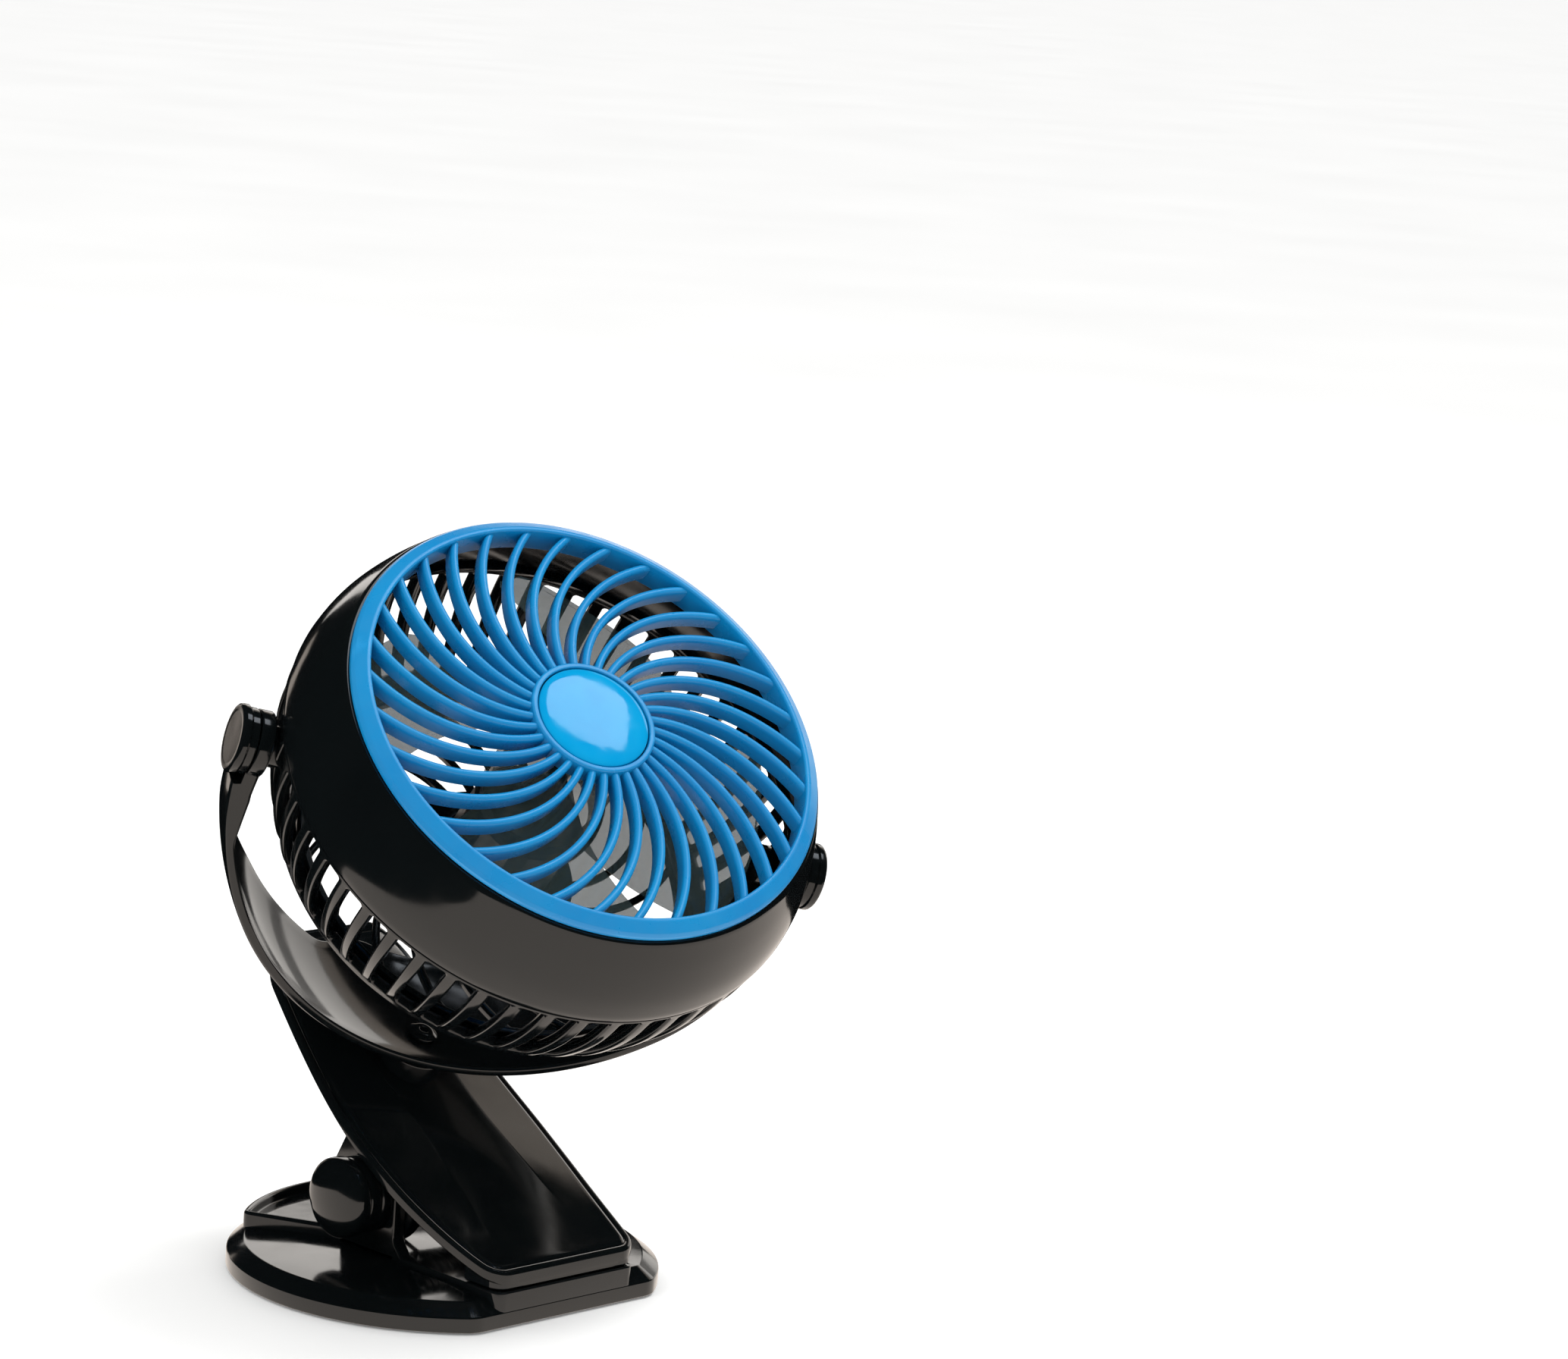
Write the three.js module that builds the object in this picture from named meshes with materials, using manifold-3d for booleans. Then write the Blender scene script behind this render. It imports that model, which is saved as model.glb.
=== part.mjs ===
// A five-inch class clip fan: a spring clip, a swivelling yoke and a tilting head with a blue spiral grille.
// Millimetres, +Z up. The origin is the middle of the base's underside. The jaws open towards -Y, and the
// hinge lies along X.
import * as THREE from 'three';
import { mergeVertices } from 'three/addons/utils/BufferGeometryUtils.js';
import Module from 'manifold-3d';

const wasm = await Module();
wasm.setup();

// Driving dimensions
const gap = 0.3; // clearance between two pieces that touch
const slip = 0.4; // radial clearance of a running or sliding fit

// base
const baseRadius = 58.7;
const baseFront = 49.5; // distance from the middle to the straight front edge
const baseCorner = 8; // rounding where the straight edge meets the disc
const padThickness = 1.8;
const padInset = 6;
const padRecess = 1.2; // how far the rest pad is let into the base
const rimHeight = 4.8;
const chamferWidth = 4.6;
const chamferHeight = 3.2;
const crownWidth = 14; // width of the gentle slope inside the chamfer
const baseTop = 8.9;
const baseWall = 2.4;
const plateThickness = 2;
const platformTop = 10.2;
const platformRear = 4; // how far the platform runs on behind the hinge's ears
const jawHalfWidth = 24.7;
const trayTop = 12.3;
const trayWall = 2;
const trayFloor = 9.6;
const trayRadius = 55.2;
const traySide = 37; // half-width of the tray at its outer corners
const trayNeck = 24; // half-width of the tray beside the hinge
const screwInset = 14.2; // from the base's rim to the middle of a screw
const baseScrewRadius = 1.2;
const baseScrewHead = 2.9;
const baseHeadHeight = 0.7;
const basePostRadius = 3.6;

// hinge and spring
const hingeY = 3.5;
const hingeZ = 25;
const earRadius = 10.8;
const earThickness = 4;
const earOuter = 25; // distance from the middle to the outer face of a hinge ear
const lugRadius = 14.3;
const lugThickness = 4;
const webBackY = 23.6; // rear corner of the web that carries a lug
const webBackZ = 28;
const webTopY = 13.4;
const earFlare = 4.4; // how far the foot of an ear runs forward
const earFlareHeight = 5;
const pinRadius = 2.5;
const capRadius = 10.9;
const capBoreDepth = 7;
const capCore = 9.8; // radius at the bottom of the cap's ring groove
const leftCollar = 8; // length of the plain part behind the rim of the left cap
const rightCollar = 3.2; // the right cap is shorter, and the arm hides it from the front
const capDomeRise = 6.4; // from the rim's back to the top of the dome
const springWire = 1.8;
const springMeanRadius = 6.6;
const springCurls = 6;
const springPitch = 2.5;
const springSides = 5;
const springSteps = 8; // steps in one curl
const springLowAngle = -34; // degrees, the leg under the tray
const springHighAngle = 50; // degrees, the leg against the arm
const springLowLength = 14.2;
const springHighLength = 21.6;

// arm, the upper half of the clip
const armTipY = -49.2;
const armTopY = 55;
const armTipZ = 15.2;
const armTipSlope = 0.3518; // rise per millimetre at the jaw tip
const armCurve = 0.002705; // how fast the arm steepens towards its top
const armThickness = 3.4; // measured straight down
const armCrown = 3.5; // height of the middle panel over the side edges
const armEdgeRound = 1.4;
const jawPlane = 10.4; // height at which the two jaws meet
const jawDepth = 14;
const jawPadThickness = 2.4;
const jawPadInset = 2;
const jawToothPitch = 4;
const jawToothDepth = 0.6;

// the drum's radii: the front edge, the blue ring and the rear edge follow its widest place
const shellBulge = 74;
const shellDraw = 7.1; // how far the drum draws in to its front edge
const shellFrontRadius = shellBulge - shellDraw;
const ringStep = 0.9;
const ringRadius = shellFrontRadius - ringStep;
const rearDraw = 13.6; // how far the drum draws in to its rear edge
const rearEdgeRadius = shellBulge - rearDraw;

// swivel, yoke and tilt pivot
const seatY = 15.744; // where the swivel axis meets the top of the arm's boss
const seatZ = 59.244;
const swivelLean = 28.3; // degrees that the swivel axis leans forward
const swivelRest = -28.7; // degrees that the yoke is turned in the resting pose
const tiltRest = 17.1; // degrees that the head is tipped in the resting pose
const earInner = shellBulge + slip; // distance from the fan axis to the inner face of a yoke ear
const yokeSwell = 4.6; // how far the bow swells past its ears
const yokeRadius = earInner + yokeSwell; // inner radius of the yoke bow about the tilt pivot
const yokeThickness = 2.6;
const yokeFrontEdge = 13;
const yokeRearEdge = 20;
const yokeTab = 8; // extra width of the rear edge over the swivel
const yokeEndHalf = 6.3; // half-width of the bow where it meets an ear
const yokeEarRadius = 8.8;
const yokeEarThickness = 4;
const studRadius = 1.6;
const insertRadius = 2.9;
const pivotBossRadius = 5.5;
const knobRadius = 9.2;
const knobBarrel = 8.7; // radius of the knob behind its face
const knobThickness = 4.9;
const knobWall = 1.2; // left over the blind end of the stud's bore
const swivelScrewRadius = 2;
const swivelHeadRadius = 4.1;
const swivelHeadHeight = 1.8;
const swivelWasherRadius = 8;
const swivelWasherThickness = 1;
const swivelBossRadius = 9;
const spotDepth = 0.1; // how far the spot face for the swivel screw's head is let into the bow

// fan head, along its own axis with the tilt pivot at zero and the front at positive Z
const ringFront = 38.2; // where the blue ring's outer edge lies
const ringWidth = 4.6;
const ringRise = 2.6; // how far the ring's inner edge stands in front of its outer edge
const ringSpigot = 3.6; // how far the ring reaches into the front shell
const shellFront = 36.6;
const shellBulgeZ = 13;
const creaseZ = 10.8;
const shellWall = 2.2;
const slotTopZ = 9.4;
const rearEdgeZ = -25;
const rearFaceZ = -28.6;
const rearRingWidth = 5.6;
const sideBars = 50;
const sideBarTopWidth = 3.4;
const sideBarEndWidth = 2.7;
const pivotBarWidth = 12.4;
const pivotBarEndWidth = 10.3;
const sideBarDepth = 3.2;
const sideBarTwist = -1; // degrees from the crease to the rear edge
const sideBarPhase = 3.25; // degrees from the tilt axis to the next bar's place
const sideBarInset = 0.35; // how far the bars lie under the drum's outline
const rearRibs = 18;
const rearRibWidth = 2;
const rearRibSweep = 34;
const rearRimWidth = 2;
const rearBulge = 2.7; // how far the rear grille's ribs stand back at the hub
const rearHubRadius = 24;
const grilleRibs = 33;
const grilleRibWidth = 2.1;
const grilleRibDepth = 4.6;
const grilleRibSweep = 33; // degrees that a rib turns from hub to ring
const grillePhase = 6.5; // degrees
const grilleRibBend = 1.2; // above one, a rib turns faster towards the ring
const hubRingRadius = 17.4;
const hubRingWidth = 1.6;
const hubRingFront = 41.8;
const hubRingDepth = 5.8;
const hubFloor = 1.6; // thickness of the floor behind the cap
const capDome = 1.5;

// rotor and motor
const bladeCount = 4;
const bladeClearance = 7.7; // between the blades' tips and the front edge of the shell
const bladeRadius = shellFrontRadius - shellWall - bladeClearance;
const bladeThickness = 1.5;
const bladeFrontZ = 29;
const bladeRearZ = 9;
const bladeSpan = 58; // degrees that a blade covers at the hub
const bladeFan = 8; // degrees that it gains on the way out
const bladeLead = 28; // degrees that its leading edge sweeps forward
const bladeFrontFall = 2.5; // how far the leading edge falls back on the way out
const bladeRearRise = 6.5; // how far the trailing edge comes forward
const bladeCamber = 2.2;
const rotorHubRadius = 16;
const shaftRadius = 1.5;
const motorRadius = 15.5;
const motorLength = 25;
const motorScrewCircle = 9;
const motorScrewRadius = 1;
const motorBearing = 1.2; // how far the bearing stands out of the motor's front
const wireHoleRadius = 4;
const coverDepth = 10.5;
const coverWall = 1.8;
const hookInset = 4.4; // from the cover's edge to the inner face of its snap hooks
const hookThickness = 1.8;
const hookWidth = 4;
const hookRoot = 3;
const boardPostCircle = 13;
const dialRadius = 8;
const dialHeight = 4.2;
const dialStemRadius = 3;
const dialNotches = 12;
const socketWidth = 9.2;
const socketHeight = 3.4;
const socketDepth = 7.2;
const socketWall = 0.45;
const boardThickness = 1.2;

// facets
const largeFacets = 66;
const barFacets = 50;
const middleFacets = 33;
const smallFacets = 20;
const tinyFacets = 12;
const screwFacets = 10;
const postFacets = 8;
const endless = yokeRadius + 11; // half-length of a cutting bar that runs right through the head
const insideBow = -yokeRadius + 9; // height inside the bow where the swivel's bores begin

const degrees = Math.PI / 180;

// Finishes
const blackGloss = new THREE.MeshStandardMaterial({ color: 0x0c0e10, roughness: 0.16, metalness: 0 });
const blueGloss = new THREE.MeshStandardMaterial({ color: 0x1089d2, roughness: 0.28, metalness: 0 });
const blueCap = new THREE.MeshStandardMaterial({ color: 0x04a6e0, roughness: 0.2, metalness: 0 });
const smokeClear = new THREE.MeshStandardMaterial({
  color: 0x4c5a58, roughness: 0.08, transparent: true, opacity: 0.6,
});
const steel = new THREE.MeshStandardMaterial({ color: 0x9ea2a6, roughness: 0.35, metalness: 1 });
const brass = new THREE.MeshStandardMaterial({ color: 0xb08d48, roughness: 0.35, metalness: 1 });
const rubber = new THREE.MeshStandardMaterial({ color: 0x151515, roughness: 0.85, metalness: 0 });
const boardGreen = new THREE.MeshStandardMaterial({ color: 0x1f5a38, roughness: 0.6, metalness: 0 });

// Helpers
// A closed three.js geometry as a solid, whichever way its faces were wound.
function solid(geometry) {
  const bare = geometry.clone();
  bare.deleteAttribute('normal');
  bare.deleteAttribute('uv');
  const merged = mergeVertices(bare, 1e-4);
  const position = merged.attributes.position;
  const index = [];
  let volume = 0;
  const a = new THREE.Vector3();
  const b = new THREE.Vector3();
  const c = new THREE.Vector3();
  for (let i = 0; i < merged.index.count; i += 3) {
    const [i0, i1, i2] = [0, 1, 2].map((n) => merged.index.getX(i + n));
    if (i0 === i1 || i1 === i2 || i2 === i0) continue;
    index.push(i0, i1, i2);
    a.fromBufferAttribute(position, i0);
    b.fromBufferAttribute(position, i1);
    c.fromBufferAttribute(position, i2);
    volume += a.dot(b.cross(c));
  }
  if (volume < 0) {
    for (let i = 0; i < index.length; i += 3) [index[i], index[i + 1]] = [index[i + 1], index[i]];
  }
  const mesh = new wasm.Mesh({
    numProp: 3,
    vertProperties: new Float32Array(position.array),
    triVerts: new Uint32Array(index),
  });
  return new wasm.Manifold(mesh);
}

function geometryOf(body) {
  const mesh = body.getMesh();
  const geometry = new THREE.BufferGeometry();
  geometry.setAttribute('position', new THREE.BufferAttribute(new Float32Array(mesh.vertProperties), 3));
  geometry.setIndex(Array.from(mesh.triVerts));
  geometry.computeVertexNormals();
  return geometry;
}

function join(first, ...others) {
  return others.reduce((whole, next) => whole.add(next), first);
}

function cut(first, ...others) {
  return others.reduce((whole, next) => whole.subtract(next), first);
}

// A profile of [radius, height] points turned about Z, with a vertex over +X. It starts and ends on the axis,
// or closes on itself.
function turned(profile, facets = largeFacets) {
  const points = profile.map(([r, z]) => new THREE.Vector2(r, z));
  const closed = profile[0][0] === 0 && profile[profile.length - 1][0] === 0;
  if (!closed) points.push(points[0].clone());
  return solid(new THREE.LatheGeometry(points, facets).rotateX(Math.PI / 2).rotateZ(Math.PI / 2));
}

// A round bar or disc on Z from z0 to z1.
function rod(radius, z0, z1, facets = smallFacets) {
  const bar = new THREE.CylinderGeometry(radius, radius, z1 - z0, facets).rotateX(Math.PI / 2);
  return solid(bar.translate(0, 0, (z0 + z1) / 2));
}

// The same lying along X.
function rodX(radius, x0, x1, y, z, facets = smallFacets) {
  const bar = new THREE.CylinderGeometry(radius, radius, x1 - x0, facets).rotateZ(Math.PI / 2);
  return solid(bar.translate((x0 + x1) / 2, y, z));
}

function block(x0, x1, y0, y1, z0, z1) {
  const box = new THREE.BoxGeometry(x1 - x0, y1 - y0, z1 - z0);
  return solid(box.translate((x0 + x1) / 2, (y0 + y1) / 2, (z0 + z1) / 2));
}

// An outline of [x, y] points standing from z0 to z1.
function slab(outline, z0, z1) {
  const shape = new THREE.Shape(outline.map(([x, y]) => new THREE.Vector2(x, y)));
  return solid(new THREE.ExtrudeGeometry(shape, { depth: z1 - z0, bevelEnabled: false }).translate(0, 0, z0));
}

// Points of an arc, both ends included.
function arc(x, y, radius, from, to, steps) {
  return Array.from({ length: steps + 1 }, (_, i) => {
    const angle = from + ((to - from) * i) / steps;
    return [x + radius * Math.cos(angle), y + radius * Math.sin(angle)];
  });
}

// An outline of [y, z] points as a plate from x0 to x1.
function plateX(outline, x0, x1) {
  const plate = slab(outline, 0, x1 - x0);
  // the outline's axes (x, y) become (y, z), and its thickness runs along X
  const turn = new THREE.Matrix4().set(0, 0, 1, x0, 1, 0, 0, 0, 0, 1, 0, 0, 0, 0, 0, 1);
  return plate.transform(turn.toArray());
}

// Closed sections with the same number of points, joined one to the next. The ends are closed as a strip
// between the two halves of the section, or as a fan where the section is small and convex.
function loft(sections, ends = 'strip') {
  const count = sections[0].length;
  const positions = sections.flat().flatMap((p) => [p.x, p.y, p.z]);
  const index = [];
  const quad = (p, q, r, s) => index.push(p, q, r, p, r, s);
  for (let i = 0; i < sections.length - 1; i++) {
    for (let j = 0; j < count; j++) {
      const k = (j + 1) % count;
      quad(i * count + j, i * count + k, (i + 1) * count + k, (i + 1) * count + j);
    }
  }
  const last = (sections.length - 1) * count;
  if (ends === 'fan') {
    for (let j = 1; j < count - 1; j++) {
      index.push(0, j + 1, j);
      index.push(last, last + j, last + j + 1);
    }
  } else {
    for (let j = 0; j < count / 2 - 1; j++) {
      const far = count - 1 - j;
      quad(j, far, far - 1, j + 1);
      quad(last + j, last + j + 1, last + far - 1, last + far);
    }
  }
  const geometry = new THREE.BufferGeometry();
  geometry.setAttribute('position', new THREE.Float32BufferAttribute(positions, 3));
  geometry.setIndex(index);
  return solid(geometry);
}

function polar(radius, angle, z) {
  return new THREE.Vector3(radius * Math.cos(angle), radius * Math.sin(angle), z);
}

function smooth(t) {
  const s = Math.min(1, Math.max(0, t));
  return s * s * (3 - 2 * s);
}

// A value read off a list of [position, value] points.
function along(points, at) {
  if (at <= points[0][0]) return points[0][1];
  for (let i = 1; i < points.length; i++) {
    const [x0, v0] = points[i - 1];
    const [x1, v1] = points[i];
    if (at <= x1) return v0 + ((v1 - v0) * (at - x0)) / (x1 - x0);
  }
  return points[points.length - 1][1];
}

function about(body, x, y, z, angleX = 0, angleY = 0, angleZ = 0) {
  const turn = new THREE.Matrix4().makeRotationFromEuler(new THREE.Euler(angleX, angleY, angleZ, 'ZYX'));
  return body.transform(turn.setPosition(x, y, z).toArray());
}

const fan = new THREE.Group();

function piece(name, body, material, parent = fan) {
  const mesh = new THREE.Mesh(geometryOf(body), material);
  mesh.name = name;
  parent.add(mesh);
  return mesh;
}

// A cross recess for a screwdriver, cut into a head whose top is at z.
function crossRecess(size, z, depth) {
  const half = size / 2;
  const width = size / 7;
  const across = block(-half, half, -width, width, z - depth, z + 1);
  return across.add(block(-width, width, -half, half, z - depth, z + 1));
}

// Base
// The disc with its straight front edge, drawn in by inset.
function baseOutline(inset) {
  const radius = baseRadius - inset;
  const front = baseFront - inset;
  const corner = baseCorner - Math.min(inset, baseCorner - 1);
  // centre of the corner arc, which touches both the straight edge and the disc
  const centreY = -front + corner;
  const centreX = Math.sqrt((radius - corner) ** 2 - centreY ** 2);
  const meet = Math.atan2(centreY, centreX);
  const right = arc(centreX, centreY, corner, -Math.PI / 2, meet, 3);
  const left = arc(-centreX, centreY, corner, Math.PI - meet, Math.PI * 1.5, 3);
  return [...right, ...arc(0, 0, radius, meet, Math.PI - meet, 38).slice(1, -1), ...left];
}

// The base's outline drawn in by each inset at each height, as one body.
function stacked(levels) {
  return loft(levels.map(([inset, z]) => baseOutline(inset).map(([x, y]) => new THREE.Vector3(x, y, z))));
}

const shellBottom = padThickness - padRecess;
const plateBottom = padThickness;
const plateTop = plateBottom + plateThickness;
const earInnerX = earOuter - earThickness;
const lugOuterX = earInnerX - gap;
const lugInnerX = lugOuterX - lugThickness;

function baseShell() {
  const outer = stacked([
    [0, shellBottom], [0, rimHeight], [chamferWidth, rimHeight + chamferHeight],
    [chamferWidth + crownWidth, baseTop],
  ]);
  // raised platform from the jaw back to the hinge
  const shoulder = hingeY - earRadius;
  const platformBack = hingeY + earRadius + platformRear;
  const platform = slab([
    [-jawHalfWidth, -baseFront], [jawHalfWidth, -baseFront], [earOuter, shoulder],
    [earOuter, platformBack], [-earOuter, platformBack], [-earOuter, shoulder],
  ], rimHeight, platformTop);
  // thumb tray at the rear
  const neckY = hingeY + earRadius;
  const trayOutline = (wall) => {
    const radius = trayRadius - wall;
    const corner = Math.acos((traySide - wall) / radius);
    const neck = trayNeck - wall;
    return [[-neck, neckY + wall], [neck, neckY + wall], ...arc(0, 0, radius, corner, Math.PI - corner, 16)];
  };
  const trayInside = slab(trayOutline(trayWall), trayFloor, trayTop + 1);
  const rim = slab(trayOutline(0), rimHeight, trayTop).subtract(trayInside);
  // two ears carry the hinge pin
  const ears = [-1, 1].map((side) => {
    const x0 = side < 0 ? -earOuter : earInnerX;
    const front = hingeY - earRadius;
    const back = hingeY + earRadius;
    const foot = rimHeight + 1;
    const flareTop = baseTop + earFlareHeight;
    const post = plateX([
      [front - earFlare, foot], [back, foot], [back, hingeZ], [front, hingeZ],
      [front, flareTop], [front - earFlare, baseTop - 0.1],
    ], x0, x0 + earThickness);
    return post.add(rodX(earRadius, x0, x0 + earThickness, hingeY, hingeZ));
  });
  let body = join(outer, platform, rim, ...ears);
  body = cut(body, rodX(pinRadius + slip, -earOuter - 1, earOuter + 1, hingeY, hingeZ));
  // hollow underside with four posts for the screws
  const cavityTop = baseTop - baseWall - 0.8;
  let cavity = stacked([[baseWall, 0], [baseWall, plateTop + 0.2], [chamferWidth + baseWall, cavityTop]]);
  const atScrews = (bar) => screwPlaces.map(([x, y]) => bar.translate([x, y, 0]));
  cavity = cut(cavity, ...atScrews(rod(basePostRadius, plateTop + gap, baseTop, postFacets)));
  body = cut(body, cavity, ...atScrews(rod(baseScrewRadius + gap, 0, baseTop - 1.2, postFacets)));
  // recess for the lower jaw pad
  return cut(body, jawRecess(platformTop - jawPadThickness + 0.4, platformTop + 1));
}

// the four base screws stand on a circle inside the rim
const screwCircle = baseRadius - screwInset;
const screwPlaces = [-150, -30, 132, 48].map((angle) => {
  return [screwCircle * Math.cos(angle * degrees), screwCircle * Math.sin(angle * degrees)];
});
const padLeft = -jawHalfWidth + jawPadInset;
const padRight = jawHalfWidth - jawPadInset;
const padFront = armTipY + jawPadInset;
const padRear = armTipY + jawDepth - jawPadInset;

function jawRecess(z0, z1) {
  return block(padLeft, padRight, padFront, padRear, z0, z1);
}

function basePlate() {
  const plate = slab(baseOutline(baseWall + gap), plateBottom, plateTop);
  const hole = rod(baseScrewRadius + 2 * gap, 0, plateTop + 1, postFacets);
  const countersink = rod(baseScrewHead + 2 * gap, 0, plateBottom + 1, postFacets);
  return cut(plate, ...screwPlaces.map(([x, y]) => hole.add(countersink).translate([x, y, 0])));
}

function baseScrew(x, y) {
  const bottom = plateBottom + 0.05;
  const head = rod(baseScrewHead, bottom, bottom + baseHeadHeight, tinyFacets);
  const shank = rod(baseScrewRadius, bottom, baseTop - 1.6, screwFacets);
  return head.add(shank).translate([x, y, 0]);
}

function jawPad(lower) {
  const thickness = jawPadThickness - 0.1;
  const face = lower ? jawPlane - gap / 2 : jawPlane + gap / 2;
  const back = lower ? face - thickness + 0.5 : face + thickness - 0.5;
  const z0 = Math.min(face, back);
  const z1 = Math.max(face, back);
  let pad = block(padLeft + gap, padRight - gap, padFront + gap, padRear - gap, z0, z1);
  const grooves = Math.floor((padRight - padLeft - 4) / jawToothPitch);
  for (let i = 0; i < grooves; i++) {
    const x = (i - (grooves - 1) / 2) * jawToothPitch;
    const z = lower ? z1 : z0;
    const d = jawToothDepth;
    const groove = block(x - d, x + d, padFront - 1, padRear + 1, z - d, z + d);
    pad = pad.subtract(groove);
  }
  return pad;
}

const restPad = slab(baseOutline(padInset), 0, padThickness - gap);

// Arm
const armFoot = armTipY - 0.3; // where the arm's curve is measured from

function armEdgeZ(y) {
  const u = y - armFoot;
  return armTipZ + armTipSlope * u + armCurve * u * u;
}

// half of the arm's width along its length, from the tip to the top
const armSides = [
  [armTipY, 25.2], [-43, 27], [-36, 28.4], [-26, 29.9], [-15, 31.1], [-3, 31.6], [8, 31.1], [20, 29.8],
  [32, 27.9], [47, 25.2], [armTopY, 23.8],
];
// half of the middle panel's width
const armPanel = [
  [armTipY, 16], [-35, 15.5], [-20, 13.6], [-5, 12], [10, 11.8], [28, 13], [47, 14.5], [armTopY, 15.1],
];
const armTipCorner = 5;
const armTopCorner = 8;

function armHalfWidth(y) {
  const side = along(armSides, y);
  // rounded corners at the tip and at the top
  const tip = Math.min(1, (y - armTipY) / armTipCorner);
  const top = Math.min(1, (armTopY - y) / armTopCorner);
  const tipCut = armTipCorner * (1 - Math.sqrt(1 - (1 - tip) ** 2));
  const topCut = armTopCorner * (1 - Math.sqrt(1 - (1 - top) ** 2));
  return side - tipCut - topCut;
}

function armCrease(y) {
  return along(armPanel, y);
}

// Height of the arm's upper face: a middle panel with a crease on each side, from which the facets fall to
// the edge.
function armTopFace(x, y) {
  const crown = armCrown * smooth((y - armTipY - 6) / 40);
  const crease = armCrease(y);
  const edge = armHalfWidth(y);
  const fall = Math.max(0, Math.abs(x) - crease) / Math.max(1, edge - crease);
  return armEdgeZ(y) + crown * (1 - fall);
}

function armShell() {
  const tipRows = [0, 1, 3.4, 7.2].map((d) => armTipY + d);
  const topRows = [armTopCorner, 4, 1.2, 0].map((d) => armTopY - d);
  const rows = [...tipRows, -34, -24, -12, 0, 12, 24, 36, ...topRows];
  const sections = rows.map((y) => {
    const edge = armHalfWidth(y);
    const crease = Math.min(armCrease(y), edge - 4);
    const inner = edge - armEdgeRound;
    const across = [-inner, -(inner + crease) / 2, -crease, 0, crease, (inner + crease) / 2, inner];
    const top = across.map((x) => new THREE.Vector3(x, y, armTopFace(x, y)));
    const bottom = across.map((x) => new THREE.Vector3(x, y, armTopFace(x, y) - armThickness)).reverse();
    const low = armTopFace(edge, y) - armEdgeRound;
    const foot = armTopFace(edge, y) - armThickness;
    const right = [new THREE.Vector3(edge, y, low), new THREE.Vector3(edge, y, foot)];
    const left = [new THREE.Vector3(-edge, y, foot), new THREE.Vector3(-edge, y, low)];
    return [left[1], ...top, right[0], right[1], ...bottom, left[0]];
  });
  let body = loft(sections);
  // jaw block under the tip
  const rear = armTipY + jawDepth;
  const wall = jawPlane + gap;
  const side = jawHalfWidth;
  const tip = slab([
    [-side + 4, armTipY], [side - 4, armTipY], [side - 1.2, armTipY + 1.2], [side, armTipY + 4],
    [side, rear], [-side, rear], [-side, armTipY + 4], [-side + 1.2, armTipY + 1.2],
  ], wall, armTipZ + 12);
  const under = plateX([
    [armTipY - 1, wall - 1], [rear + 1, wall - 1],
    [rear + 1, armEdgeZ(rear) - 0.6], [armTipY - 1, armEdgeZ(armTipY) - 0.6],
  ], -side - 1, side + 1);
  body = body.add(tip.intersect(under));
  // two lugs reach down to the hinge pin
  for (const side of [-1, 1]) {
    const x0 = side < 0 ? -lugOuterX : lugInnerX;
    const front = hingeY - lugRadius * 0.86;
    const outline = [
      [front, hingeZ + 3], [hingeY + 11, hingeZ], [webBackY, webBackZ],
      [webTopY, armEdgeZ(webTopY) - 0.9], [front, armEdgeZ(front) - 0.9],
    ];
    const web = plateX(outline, x0, x0 + lugThickness);
    body = join(body, web, rodX(lugRadius, x0, x0 + lugThickness, hingeY, hingeZ));
  }
  body = cut(body, rodX(pinRadius + slip, -earOuter, earOuter, hingeY, hingeZ));
  // round seat for the swivel, square to its axis
  const seat = inSwivel(rod(swivelBossRadius, -armSeatBottom, -armSeatTop));
  const ceiling = inSwivel(rod(swivelScrewRadius + slip, -armSeatBottom - 8, -armSeatTop + 2, tinyFacets));
  const nutPocket = inSwivel(rod(nutPocketRadius, -armSeatBottom - 8, -armSeatBottom + nutPocketDepth));
  body = cut(body.add(seat), ceiling, nutPocket);
  return cut(body, jawRecess(wall - 1, wall + jawPadThickness - 0.4));
}

// The swivel's own frame: Z along the swivel axis, zero at the tilt pivot.
function inSwivel(body) {
  return about(body, 0, pivotY, pivotZ, swivelLean * degrees, 0, 0);
}

const washerTop = yokeRadius + yokeThickness + gap;
const armSeatTop = washerTop + swivelWasherThickness + gap;
const pivotY = seatY - armSeatTop * Math.sin(swivelLean * degrees);
const pivotZ = seatZ + armSeatTop * Math.cos(swivelLean * degrees);
const armSeatBottom = armSeatTop + 7;
const nutPocketRadius = 5.2;
const nutPocketDepth = 2;
const nutFlats = 7; // across the flats
const nutHeight = 3.1;

// Hinge
function hingeCap(side, length) {
  const bore = pinRadius + slip;
  const inner = earOuter + gap;
  const collar = capRadius - 0.6;
  const rim = inner + length;
  const profile = [
    [bore, inner], [collar - 0.4, inner], [collar, inner + 0.4], [collar, rim - 1],
    [capCore, rim - 0.7], [capCore, rim - 0.1], [capRadius, rim + 0.3], [capRadius, rim + 2.2],
    [capRadius - 1.1, rim + 3.6], [capRadius - 4.2, rim + 5.3], [0, rim + capDomeRise],
    [0, inner + capBoreDepth], [bore, inner + capBoreDepth],
  ];
  const cap = turned(profile, smallFacets);
  return about(cap, 0, hingeY, hingeZ, 0, (side * Math.PI) / 2, 0);
}

const pinReach = earOuter + capBoreDepth - 1;
const hingePin = rodX(pinRadius, -pinReach, pinReach, hingeY, hingeZ);

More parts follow.
